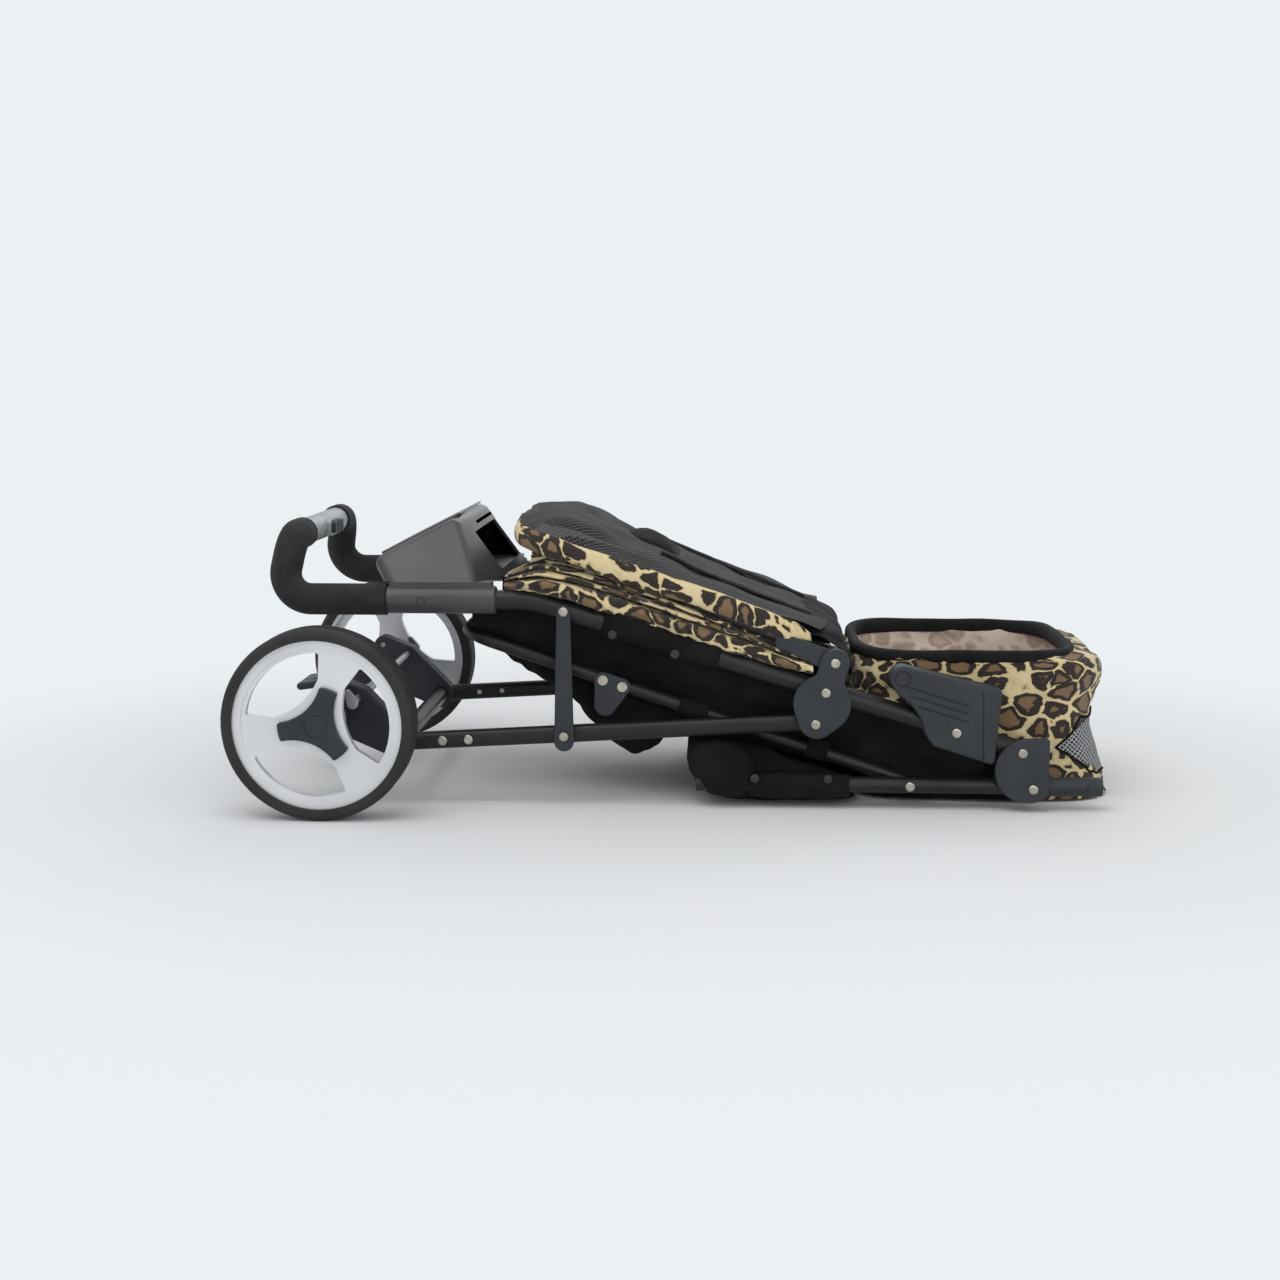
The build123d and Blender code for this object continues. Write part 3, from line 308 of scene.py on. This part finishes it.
leopard = spotted_cloth("leopard_print", (0.70, 0.56, 0.29), (0.78, 0.65, 0.38), (0.022, 0.014, 0.010),
                        (0.22, 0.135, 0.065), 0.029, 0.03, 0.10, 0.23)
lining = spotted_cloth("print_reverse", (0.62, 0.51, 0.43), (0.70, 0.60, 0.52), (0.42, 0.32, 0.26),
                       (0.52, 0.41, 0.34), 0.029, 0.09, 0.10, 0.23)
# Each net's second colour is painted shade, laid in its holes.
mesh_black = netting("mesh_black", (0.075, 0.075, 0.073), (0.004, 0.004, 0.004), 0.0046, 0.42, 0.35)
mesh_grey = netting("mesh_silver", (0.42, 0.43, 0.45), (0.012, 0.012, 0.013), 0.0042, 0.36, 0.3)

finishes = {
    "black_tube": powder[0],
    "dark_plastic": moulded[0],
    "grey_plastic": grey_bar[0],
    "silver_rim": silver[0],
    "tyre_rubber": rubber[0],
    "grip_foam": foam[0],
    "nickel": nickel[0],
    "steel": steel[0],
    "print_fabric": leopard,
    "black_fabric": black_cloth[0],
}
for part in frame["record"]["subparts"]:
    node = frame["nodes"][part["node"]]
    for holder in node.material_slots:
        holder.material = finishes[part["material_slot"]]
for name in ("tray_body", "tray_lid", "tray_collar_near", "tray_collar_far"):
    for holder in frame["nodes"][name].material_slots:
        holder.material = tray_plastic[0]


# Cloth and trim
def clear_selection():
    """Nothing selected, so the next operator acts on its own piece."""
    bpy.ops.object.select_all(action="DESELECT")


def smooth_line(points, t):
    """The point at t, 0 to 1, on a smooth line through evenly spaced points."""
    last = len(points) - 1
    s = min(max(t, 0.0), 1.0) * last
    i = min(int(s), last - 1)
    f = s - i
    p1, p2 = points[i], points[i + 1]
    p0 = points[i - 1] if i else p1 * 2 - p2
    p3 = points[i + 2] if i + 2 <= last else p2 * 2 - p1
    bend = p1 * 2 + (p2 - p0) * f
    bend = bend + (p0 * 2 - p1 * 5 + p2 * 4 - p3) * (f * f)
    bend = bend + (p1 * 3 - p0 - p2 * 3 + p3) * (f * f * f)
    return bend * 0.5


def crumple(size, depth, seed, sharp=0.0):
    """A relief for cloth: random folds of this size and depth, in millimetres, with finer sharp creases."""
    def relief(point):
        spot = point / (size * MM) + Vector((seed, seed * 0.7, -seed))
        lift = depth * noise.noise(spot)
        if sharp:
            lift += sharp * (0.5 - 2 * abs(noise.noise(spot * 2.1)))
        return lift * MM
    return relief


def run_lengths(spots):
    """How far along a line each of its points lies."""
    walked = [0.0]
    for a, b in zip(spots, spots[1:]):
        walked.append(walked[-1] + (b - a).length)
    return walked


def along_map(walked, t):
    """The distance along a line at t, 0 to 1."""
    s = min(max(t, 0.0), 1.0) * (len(walked) - 1)
    k = min(int(s), len(walked) - 2)
    return walked[k] + (walked[k + 1] - walked[k]) * (s - k)


def apply_modifiers(piece):
    """Makes the piece's modifiers part of its mesh."""
    bpy.context.view_layer.objects.active = piece
    for modifier in list(piece.modifiers):
        bpy.ops.object.modifier_apply(modifier=modifier.name)


# Where a sheet is measured and in how many steps; weld reach and lowest height in millimetres; spare length
MEASURED_AT = (0.0, 0.5, 1.0)
MEASURE_STEPS = 24
MAP_STEPS = 96
WELD = 0.4
LOWEST = 0.6
SPARE = 1.001


def sheet_point(rows, t, s):
    """The point at t along the lines and s across them."""
    return smooth_line([smooth_line(row, t) for row in rows], s)


def walk_along(rows, s, steps):
    """Distances along the sheet at one place across."""
    return run_lengths([sheet_point(rows, i / steps, s) for i in range(steps + 1)])


def walk_across(rows, t, steps):
    """Distances across the sheet at one place along."""
    return run_lengths([sheet_point(rows, t, i / steps) for i in range(steps + 1)])


def cloth(name, lines, along, across, finish, thick, relief, weld=False, paint=None,
          fine=False, pad=None, push=None):
    """A sheet of cloth drawn through lines of points in millimetres, with its own map in metres."""
    clear_selection()
    bpy.ops.mesh.primitive_grid_add(x_subdivisions=along, y_subdivisions=across, size=2)
    piece = bpy.context.object
    piece.name = name
    rows = [[Vector(p) * MM for p in line] for line in lines]
    where = [((v.co.x + 1) / 2, (v.co.y + 1) / 2) for v in piece.data.vertices]
    for v, (t, s) in zip(piece.data.vertices, where):
        v.co = sheet_point(rows, t, s)
    piece.data.update()
    normals = [v.normal.copy() for v in piece.data.vertices]
    for v, n in zip(piece.data.vertices, normals):
        v.co += (push or n) * relief(v.co)
    runs = [walk_along(rows, s, MEASURE_STEPS)[-1] for s in MEASURED_AT]
    drops = [walk_across(rows, t, MEASURE_STEPS)[-1] for t in MEASURED_AT]
    width, length = max(runs), max(drops)
    row_map = walk_along(rows, MEASURED_AT[runs.index(width)], MAP_STEPS)
    column_map = walk_across(rows, MEASURED_AT[drops.index(length)], MAP_STEPS)
    for spot in piece.data.uv_layers[0].data:
        spot.uv = (along_map(row_map, spot.uv[0]), along_map(column_map, spot.uv[1]))
    for mat in finish if isinstance(finish, list) else [finish]:
        piece.data.materials.append(mat)
    if paint:
        for face in piece.data.polygons:
            face.material_index = paint(face.center / MM)
    if weld:
        bpy.ops.object.mode_set(mode="EDIT")
        bpy.ops.mesh.select_all(action="SELECT")
        bpy.ops.mesh.remove_doubles(threshold=WELD * MM)
        bpy.ops.mesh.normals_make_consistent(inside=False)
        bpy.ops.object.mode_set(mode="OBJECT")
    area = sum(face.area for face in piece.data.polygons)
    wall = piece.modifiers.new("thickness", "SOLIDIFY")
    wall.thickness = thick * MM
    wall.offset = 0
    if not fine:
        soft = piece.modifiers.new("soft", "SUBSURF")
        soft.levels = 1
        soft.render_levels = 1
    apply_modifiers(piece)
    bpy.ops.object.shade_smooth()
    for v in piece.data.vertices:
        v.co.z = max(v.co.z, LOWEST * MM)
    if pad is not None:
        return piece
    # Creases add area to the drawn sheet, so the flat length grows to hold it
    full = width * length
    if area > full:
        length *= area / full * SPARE
    return piece


def mirrored(lines):
    """The same lines on the far side."""
    return [[(x, -y, z) for x, y, z in line] for line in lines]


def ring(x_back, x_front, half, z, steps, square=4.5):
    """A rounded rectangle in plan at one height, evenly spaced from the back round the near side."""
    middle = (x_back + x_front) / 2
    reach = (x_front - x_back) / 2
    spots = []
    for i in range(361):
        turn = math.pi + math.radians(i)
        c, s = math.cos(turn), math.sin(turn)
        x = middle + reach * math.copysign(abs(c) ** (2 / square), c)
        spots.append(Vector((x, half * math.copysign(abs(s) ** (2 / square), s), z)))
    walked = run_lengths(spots)
    line = []
    k = 0
    for i in range(steps + 1):
        goal = walked[-1] * i / steps
        while k < len(spots) - 2 and walked[k + 1] < goal:
            k += 1
        part = (goal - walked[k]) / (walked[k + 1] - walked[k])
        line.append(tuple(spots[k].lerp(spots[k + 1], part)))
    return line


# Bag tub with its lining and zip
TUB_STEPS = 48
tub_levels = [
    (344, 346, 1, 2.5),
    (215, 482, 108, 2.5),
    (201, 491, 121, 6),
    (199, 491, 124, 20),
    (198, 485, 126, 48),
    (197, 476, 128, 76),
    (197, 476, 128, 102),
    (197, 481, 130, 126),
    (198, 485, 134, 147),
    (201, 478, 135, 161),
    (205, 461, 134, 166),
    (209, 449, 129, 168),
]

# The front window's back corner, its two slanted edges and its top, and where the black cloth ends
WINDOW_X = 427
WINDOW_Z = 63
WINDOW_TOP = 97
WINDOW_FALL = 0.56
WINDOW_RISE = 0.846
BLACK_TO_X = 410
BLACK_DROP = 4
PRINT, BLACK, WINDOW = 0, 1, 2


def tub_paint(spot):
    """Print on top and in front, black cloth below the main tubes, mesh in the front window."""
    inward = spot.x - WINDOW_X
    top = min(WINDOW_Z + WINDOW_RISE * inward, WINDOW_TOP)
    if inward > 0 and WINDOW_Z - WINDOW_FALL * inward < spot.z < top:
        return WINDOW
    if spot.x < BLACK_TO_X and spot.z < main_z(spot.x) - BLACK_DROP:
        return BLACK
    return PRINT


tub = cloth("bag_shell", [ring(*level, TUB_STEPS) for level in tub_levels], 264, 84,
            [leopard, black_cloth[0], mesh_grey], 2.2, crumple(46, 5.0, 3.0, 2.2), True, tub_paint, fine=True)
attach(tub, "front_frame")
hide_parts("bag_tub")
lining_levels = [
    (210, 447, 127, 163),
    (212, 450, 125, 152),
    (213, 455, 122, 130),
    (213, 455, 118, 80),
    (216, 458, 113, 30),
    (226, 450, 102, 15),
    (344, 346, 1, 14),
]
inner = cloth("bag_lining", [ring(*level, TUB_STEPS) for level in lining_levels], 120, 30,
              lining, 1.2, crumple(38, 5.0, 9.0, 2.0), True)
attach(inner, "front_frame")
mat_lines = [[(x, y, 19) for x in (228, 280, 340, 400, 447)] for y in (-99, -60, -20, 20, 60, 99)]
mat_sheet = cloth("bag_mat", mat_lines, 40, 36, lining, 3.0, crumple(60, 2.5, 12.0))
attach(mat_sheet, "front_frame")


def tape_ring(name, x_back, x_front, half, z, section, finish):
    """A soft band of this section, (outward, up), all round an oval opening."""
    lines = []
    for out, up in section + section[:1]:
        lines.append(ring(x_back - out, x_front + out, half + out, z + up, TUB_STEPS, 4.2))
    return cloth(name, lines, 144, 12, finish, 0.5, crumple(60, 2.0, 5.0), True)


rim_section = [(3, -10), (5.5, -7), (6.2, -1), (4, 3.5), (-1, 4.5), (-4.5, 3), (-6.5, -2), (-6.5, -9),
               (-4.5, -13), (-2, -8)]
rim_zip = tape_ring("bag_zip", 206, 450, 131, 170, rim_section, zip_tape[0])
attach(rim_zip, "front_frame")

SEAM_STEPS = 12


def seam(name, piece, points, radius, finish, body):
    """Sewn piping laid on a piece of cloth along points in millimetres."""
    spots = [Vector(p) * MM for p in points]
    route = []
    for i in range(SEAM_STEPS * (len(spots) - 1) + 1):
        k = min(i // SEAM_STEPS, len(spots) - 2)
        guess = spots[k].lerp(spots[k + 1], i / SEAM_STEPS - k)
        place, normal = piece.closest_point_on_mesh(guess)[1:3]
        route.append(place + normal * radius * 0.3 * MM)
    line = bpy.data.curves.new(name, "CURVE")
    line.dimensions = "3D"
    line.bevel_depth = radius * MM
    line.bevel_resolution = 2
    line.use_fill_caps = True
    run = line.splines.new("POLY")
    run.points.add(len(route) - 1)
    for point, place in zip(run.points, route):
        point.co = (*place, 1)
    edge = bpy.data.objects.new(name, line)
    bpy.context.collection.objects.link(edge)
    clear_selection()
    edge.select_set(True)
    bpy.context.view_layer.objects.active = edge
    bpy.ops.object.convert(target="MESH")
    bpy.ops.object.shade_smooth()
    edge.data.materials.append(finish)
    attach(edge, body)


window_edge = [(492, 40, 97), (478, 100, 97), (464, 124, 97), (427, 128, 63), (446, 127, 52), (478, 116, 34),
               (488, 92, 29), (492, 40, 27)]
for side_name, side_y in (("near", -1), ("far", 1)):
    edge_line = [(x, side_y * y, z) for x, y, z in window_edge]
    seam("window_seam_" + side_name, tub, edge_line, 1.5, black_cloth[0], "front_frame")

# Canopy: print band round the hoop, mesh top and zips
CANOPY_X = [-178, -150, -120, -90, -55, -20, 25, 72, 120, 168]
HOOP_Y = 164.5


def band_line(rise, out):
    """One line of the band, from the near hinge round the tip to the far hinge."""
    near_side = [(118, 213.5), (72, 231), (25, 248), (-20, 262.5), (-55, 274), (-90, 286), (-120, 296),
                 (-145, 305)]
    line = [(150, -156 - out * 0.5, 195 + rise * 0.4), (136, -159 - out, 206 + rise)]
    line += [(x, -HOOP_Y - out, z + rise) for x, z in near_side]
    line.append((-166 - out * 0.7, -HOOP_Y + 12 - out * 0.7, 311 + rise))
    line.append((-176 - out, -132, 315 + rise))
    line.append((-177 - out, -60, 316 + rise))
    line.append((-177 - out, 0, 316 + rise))
    return line + [(x, -y, z) for x, y, z in reversed(line[:-1])]


band_section = [(1, -2), (-4, 2), (-12, 3.5), (-19, 2), (-22, -2), (-17, -4)]
band_lines = [band_line(rise, out) for rise, out in band_section]
band = cloth("canopy_band", band_lines, 150, 14, leopard, 1.4, crumple(30, 3.0, 1.0))
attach(band, "canopy")

mesh_heights = [
    (163, [314, 306, 296, 286, 274, 262.5, 249, 232, 216, 199]),
    (125, [317, 317, 316, 303, 285, 272, 255, 236, 219, 201]),
    (78, [319, 322, 323, 310, 290, 277, 257, 237, 219, 200]),
    (0, [320, 325, 326, 311, 291, 278, 258, 238, 219, 199]),
]
mesh_lines = [[(x, -y, z) for x, z in zip(CANOPY_X, zs)] for y, zs in mesh_heights]
mesh_lines[0][0] = (-170, -153, 312)
mesh_lines[0][-1] = (160, -153, 199)
mesh_lines += mirrored(reversed(mesh_lines[:-1]))
top = cloth("canopy_mesh", mesh_lines, 90, 70, mesh_black, 0.5, crumple(42, 4.0, 7.0))
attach(top, "canopy")
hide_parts("canopy_cover")

zip_heights = mesh_heights[2][1]


def along_canopy(y, lift, x_from, x_to, steps=9):
    """A line on the canopy's top at one distance across."""
    line = []
    for i in range(steps):
        x = x_from + (x_to - x_from) * i / (steps - 1)
        k = 0
        while k < len(CANOPY_X) - 2 and CANOPY_X[k + 1] < x:
            k += 1
        f = (x - CANOPY_X[k]) / (CANOPY_X[k + 1] - CANOPY_X[k])
        z = zip_heights[k] * (1 - f) + zip_heights[k + 1] * f
        line.append((x, y, z + lift))
    return line


def flat_strip(name, y, half, x_from, x_to, finish, height):
    """A narrow raised tape along the canopy's top."""
    section = ((-1, 0.5), (-0.5, height), (0.5, height), (1, 0.5))
    lines = [along_canopy(y + half * share, lift, x_from, x_to) for share, lift in section]
    return cloth(name, lines, 60, 8, finish, 1.2, crumple(30, 1.6, y))


for name, y in (("canopy_zip_near", -84), ("canopy_zip_far", 84)):
    strip = flat_strip(name, y, 8, -18, 152, zip_tape[0], 3)
    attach(strip, "canopy")

loop_line = [(-62, 289, 0), (-54, 286, 9), (-40, 280, 17), (-22, 273, 18), (-6, 266, 12), (6, 259, 0)]
loop_lines = []
for share in (-1, -0.8, -0.4, 0, 0.4, 0.8, 1):
    bulge = math.sqrt(1 - share * share)
    loop_lines.append([(x, share * 44, z + rise * bulge) for x, z, rise in loop_line])
loop = cloth("canopy_loop", loop_lines, 24, 16, zip_tape[0], 1.5, crumple(20, 2.0, 13.0))
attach(loop, "canopy")

apron_run = [(140, 207), (156, 205), (170, 200), (182, 193), (190, 184), (193, 170), (192, 152)]
apron_lines = []
for share in (-1, -0.93, -0.8, -0.4, 0, 0.4, 0.8, 0.93, 1):
    fall = 14 * max(0, abs(share) - 0.75) / 0.25
    apron_lines.append([(x, share * 155, z - fall) for x, z in apron_run])
apron = cloth("canopy_apron", apron_lines, 30, 60, zip_tape[0], 1.6, crumple(30, 4.0, 15.0, 1.5))
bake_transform(apron)

# Crumpled print cloth between the canopy and the main tubes
FOLD_X = [-190, -150, -105, -61, -17, 27, 72, 120, 152]
fold_base = [243, 240, 230, 214, 200, 187, 173, 159, 153]
fold_top = [258, 274, 266, 254, 240, 223, 205, 186, 174]


def fold_line(share, y, sway, phase):
    """One line of the folds, part of the way from the tube to the canopy band."""
    line = []
    for i, x in enumerate(FOLD_X):
        z = fold_base[i] + (fold_top[i] - fold_base[i]) * share
        tuck = 9 if i == 0 else 0
        side_sway = sway * math.sin(i * 2.1 + phase)
        rise_sway = sway * 0.1 * math.cos(i * 1.7 + phase)
        line.append((x, y + tuck + side_sway, z + rise_sway))
    return line


fold_lines = [
    fold_line(-0.10, -150, 1, 0),
    fold_line(0.02, -164, 2, 0.4),
    fold_line(0.22, -169, 3, 1.1),
    fold_line(0.40, -165, 3, 2.0),
    fold_line(0.46, -146, 3, 2.8),
    fold_line(0.50, -143, 3, 0.9),
    fold_line(0.57, -160, 4, 1.7),
    fold_line(0.64, -163, 4, 3.0),
    fold_line(0.68, -146, 3, 4.2),
    fold_line(0.73, -144, 3, 5.0),
    fold_line(0.80, -158, 4, 0.6),
    fold_line(0.86, -156, 3, 1.9),
    fold_line(0.90, -142, 2, 0.2),
    fold_line(1.00, -146, 1, 1.0),
]
both_folds = (("fold_cloth_near", fold_lines, -1), ("fold_cloth_far", mirrored(fold_lines), 1))
for name, lines, outward in both_folds:
    folds = cloth(name, lines, 130, 70, leopard, 1.1, crumple(24, 7.0, 2.0, 5.0),
                  push=Vector((0, outward, 0)))
    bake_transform(folds)

back_lines = []
for share, sag in ((-1, 0), (-0.7, -6), (-0.3, -9), (0.0, -10), (0.3, -9), (0.7, -6), (1, 0)):
    back_lines.append([(x, share * 146, z + 8 + sag) for x, z in zip(FOLD_X, fold_base)])
back = cloth("back_cloth", back_lines, 70, 50, leopard, 1.4, crumple(40, 7.0, 4.0, 3.0))
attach(back, "main_frame")
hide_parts("back_panel")

# Black side cloth between the main tubes and the floor frame
SIDE_X = [-228, -178, -123, -60, 0, 60, 120, 180, 240, 300, 345]
side_low = [191, 172, 154, 134, 114, 93, 73, 53, 36, 26, 22]


def side_line(share, y, out=0.0):
    """One line of the black side cloth, part of the way up to the main tube."""
    line = []
    for x, low in zip(SIDE_X, side_low):
        high = main_z(x) - 7
        bulge = 8 * min(max((x - 200) / 60, 0), 1) * (1 - share * share)
        line.append((x, -y - bulge - out * math.sin(x * 0.021), low + (high - low) * share))
    return line


side_lines = [side_line(0, 126), side_line(0.25, 129, 3), side_line(0.5, 137, 4), side_line(0.8, 142, 2),
              side_line(1, 146)]
for name, lines in (("side_cloth_near", side_lines), ("side_cloth_far", mirrored(side_lines))):
    side = cloth(name, lines, 110, 24, black_cloth[0], 1.2, crumple(34, 6.0, 6.0, 3.0))
    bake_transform(side)

# Storage basket hung from the floor frame
BASKET_X = [-232, -200, -160, -120, -88, -58, -34, -12, 14, 60, 110, 155, 194]
basket_low = [186, 166, 140, 116, 82, 54, 54, 68, 72, 64, 54, 44, 38]


def basket_line(y, share):
    """One line of the basket: 0 at the tube, 1 at the bottom."""
    line = []
    for x, low in zip(BASKET_X, basket_low):
        high = floor_z(x) - 3
        line.append((x, y, high + (min(low, high) - high) * share))
    return line


basket_section = [(-126, 0), (-125, 0.5), (-118, 0.92), (-96, 1.0), (0, 0.98), (96, 1.0), (118, 0.92),
                  (125, 0.5), (126, 0)]
basket_lines = [basket_line(y, share) for y, share in basket_section]
basket = cloth("basket_cloth", basket_lines, 100, 60, black_cloth[0], 1.2, crumple(36, 7.0, 8.0, 3.0))
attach(basket, "floor_frame")
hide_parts("storage_basket")

# Padded floor with its rounded back end
PAD_MIDDLE = (70, 34)
pad_section = [(15, 48), (17, 64), (34, 74), (62, 72), (104, 58), (150, 42), (198, 24), (198, 4), (140, 3),
               (84, 4), (50, 9), (28, 22), (17, 36), (15, 48)]


def drawn_in(section, middle, y, draw):
    """An outline at one place across, drawn in towards its middle."""
    mx, mz = middle
    return [(mx + (x - mx) * draw, y, mz + (z - mz) * draw) for x, z in section]


pad_ends = [(-143, 0.06), (-142, 0.7), (-136, 0.96), (-118, 1.0), (0, 1.0), (118, 1.0), (136, 0.96),
            (142, 0.7), (143, 0.06)]
pad_lines = [drawn_in(pad_section, PAD_MIDDLE, y, draw) for y, draw in pad_ends]
pad = cloth("floor_pad", pad_lines, 72, 40, black_cloth[0], 1.2, crumple(40, 5.0, 11.0, 3.0), True, pad=0.35)
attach(pad, "front_frame")
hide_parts("bag_floor")
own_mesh(pad)


# Cloth sleeves, cuffs and snaps on the tubes
def sleeve(name, a, b, radius, flap, seed):
    """A black cloth sleeve round a straight tube from a to b, with a flap where it is closed."""
    start, end = Vector(a), Vector(b)
    axis = (end - start).normalized()
    side_way = Vector((0, 1, 0))
    up = side_way.cross(axis).normalized()
    lines = []
    for k in range(13):
        turn = 2 * math.pi * k / 12
        out = side_way * math.cos(turn) * radius + up * math.sin(turn) * radius
        if flap and math.sin(turn) * math.copysign(1, flap) < -0.7:
            out += up * -flap
        line = []
        for i in range(9):
            pinch = 1.0 - 0.10 * (abs(i - 4) / 4) ** 6
            line.append(tuple(start + (end - start) * (i / 8) + out * pinch))
        lines.append(line)
    piece = cloth(name, lines, 40, 36, black_cloth[0], 1.0, crumple(18, 1.6, seed), True)
    return piece


SNAP_R = 5.2
SNAP_DEPTH = 3.4
SNAP_ROUND = 1.3


def snap(name, spot, body, finish=moulded[0]):
    """A pressed cap snap on a sleeve, or the head of a stud."""
    clear_selection()
    bpy.ops.mesh.primitive_cylinder_add(vertices=24, radius=SNAP_R * MM, depth=SNAP_DEPTH * MM,
                                        location=[c * MM for c in spot], rotation=(math.radians(90), 0, 0))
    piece = bpy.context.object
    piece.name = name
    bpy.ops.object.mode_set(mode="EDIT")
    bpy.ops.mesh.select_all(action="SELECT")
    bpy.ops.mesh.bevel(offset=SNAP_ROUND * MM, segments=3, affect="EDGES")
    bpy.ops.object.mode_set(mode="OBJECT")
    bpy.ops.object.transform_apply(location=True, rotation=True, scale=True)
    bpy.ops.object.shade_smooth()
    piece.data.materials.append(finish)
    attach(piece, body)


def on_main(x, y):
    """A point on the main tube's axis."""
    return (x, y, main_z(x))


def on_floor(x, y):
    """A point on the floor frame's tube."""
    return (x, y, floor_z(x))


CUFF_MIDDLE = (52, 42)
cuff_section = [(14, 50), (16, 64), (24, 73), (44, 74), (70, 68), (88, 56), (92, 36), (86, 16), (70, 9),
                (48, 12), (30, 22), (19, 36), (14, 50)]
cuff_ends = [(172, 0.0), (171, 0.3), (168.5, 0.6), (164, 0.82), (156, 0.96), (148, 1.0), (138, 1.0),
             (132, 0.94), (128, 0.6)]
for side_name, y in (("near", -1), ("far", 1)):
    main_y = y * MAIN_Y
    floor_y = y * FLOOR_Y
    wrap = sleeve("main_wrap_" + side_name, on_main(-80, main_y), on_main(49, main_y), 13.2, 5.0, 1.0)
    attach(wrap, "main_frame")
    rail_wrap = sleeve("rail_wrap_" + side_name, (81, main_y, RAIL_Z), (194, main_y, RAIL_Z), 11.4, -4.0, 2.0)
    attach(rail_wrap, "front_frame")
    cuff_lines = [drawn_in(cuff_section, CUFF_MIDDLE, y * out, draw) for out, draw in cuff_ends]
    cuff = cloth("rail_cuff_" + side_name, cuff_lines, 60, 36, black_cloth[0], 1.0,
                 crumple(26, 4.0, 3.0, 2.0), True, pad=0.3)
    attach(cuff, "front_frame")
    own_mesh(cuff)
    band_wrap = sleeve("floor_wrap_" + side_name, on_floor(4, floor_y), on_floor(36, floor_y), 9.6, 0.0, 4.0)
    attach(band_wrap, "floor_frame")
    strap = sleeve("floor_strap_" + side_name, on_floor(147, floor_y), on_floor(170, floor_y), 9.8, 5.0, 6.0)
    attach(strap, "floor_frame")
    main_face = y * (MAIN_Y + 12.5)
    rail_face = y * (MAIN_Y + 11)
    snap("main_snap_a_" + side_name, (-69, main_face, main_z(-69) - 9), "main_frame")
    snap("main_snap_b_" + side_name, (0, main_face, main_z(0) - 9), "main_frame")
    snap("rail_snap_a_" + side_name, (89, rail_face, RAIL_Z + 8), "front_frame")
    snap("rail_snap_b_" + side_name, (170, rail_face, RAIL_Z + 8), "front_frame")

snap("latch_cap", (-122.8, -174.5, 80.7), "latch", nickel[0])

# Studio
bpy.ops.mesh.primitive_plane_add(size=6, location=(0, 0, -0.0005))
ground = bpy.context.object
ground.name = "studio_floor"
BACKDROP = (0.83, 0.871, 0.896)
PAPER_FULL = 0.55
PAPER_GONE = 1.15
sheet_mat, s_nodes, s_links, s_shader, s_place = coat("studio_paper", (0.86, 0.88, 0.9), 0.9)
reach = s_nodes.new("ShaderNodeVectorMath")
reach.operation = "LENGTH"
fade = s_nodes.new("ShaderNodeMapRange")
fade.interpolation_type = "SMOOTHSTEP"
fade.inputs["From Min"].default_value = PAPER_FULL
fade.inputs["From Max"].default_value = PAPER_GONE
fade.inputs["To Min"].default_value = 1.0
fade.inputs["To Max"].default_value = 0.0
s_links.new(s_place.outputs["Object"], reach.inputs[0])
s_links.new(reach.outputs["Value"], fade.inputs["Value"])
s_links.new(fade.outputs["Result"], s_shader.inputs["Alpha"])
ground.data.materials.append(sheet_mat)

world = bpy.data.worlds.new("studio_air")
bpy.context.scene.world = world
world.use_nodes = True
w_nodes, w_links = world.node_tree.nodes, world.node_tree.links
soft_light = w_nodes["Background"]
soft_light.inputs["Color"].default_value = (1, 1, 1, 1)
soft_light.inputs["Strength"].default_value = 0.55
seen = w_nodes.new("ShaderNodeBackground")
seen.inputs["Color"].default_value = (*BACKDROP, 1)
seen.inputs["Strength"].default_value = 1.0
ray = w_nodes.new("ShaderNodeLightPath")
either = w_nodes.new("ShaderNodeMath")
either.operation = "MAXIMUM"
either_b = w_nodes.new("ShaderNodeMath")
either_b.operation = "MAXIMUM"
mixed = w_nodes.new("ShaderNodeMixShader")
w_links.new(ray.outputs["Is Camera Ray"], either.inputs[0])
w_links.new(ray.outputs["Is Glossy Ray"], either.inputs[1])
w_links.new(either.outputs["Value"], either_b.inputs[0])
w_links.new(ray.outputs["Is Transmission Ray"], either_b.inputs[1])
w_links.new(either_b.outputs["Value"], mixed.inputs["Fac"])
w_links.new(soft_light.outputs["Background"], mixed.inputs[1])
w_links.new(seen.outputs["Background"], mixed.inputs[2])
w_links.new(mixed.outputs["Shader"], w_nodes["World Output"].inputs["Surface"])


def softbox(name, place, aim, size, power):
    """A large soft lamp turned towards a point."""
    lamp_data = bpy.data.lights.new(name, "AREA")
    lamp_data.shape = "SQUARE"
    lamp_data.size = size
    lamp_data.energy = power
    lamp = bpy.data.objects.new(name, lamp_data)
    lamp.location = place
    lamp.rotation_euler = (Vector(aim) - Vector(place)).to_track_quat("-Z", "Y").to_euler()
    bpy.context.collection.objects.link(lamp)


softbox("key_top", (-0.5, -0.9, 2.2), (0, 0, 0.1), 1.8, 17)
softbox("fill_front", (0.9, -2.2, 1.0), (0, 0, 0.15), 1.6, 9)
softbox("rim_back", (0.3, 1.8, 1.6), (0, 0, 0.15), 1.4, 8)

eye = bpy.data.cameras.new("photo_eye")
eye.lens = 51.44
eye.sensor_width = 36.0
camera = bpy.data.objects.new("photo_camera", eye)
camera.location = (0.054, -2.157, 0.485)
camera.rotation_euler = (math.radians(81.54), 0, math.radians(2.66))
bpy.context.collection.objects.link(camera)
bpy.context.scene.camera = camera
bpy.context.scene.view_settings.view_transform = "Standard"
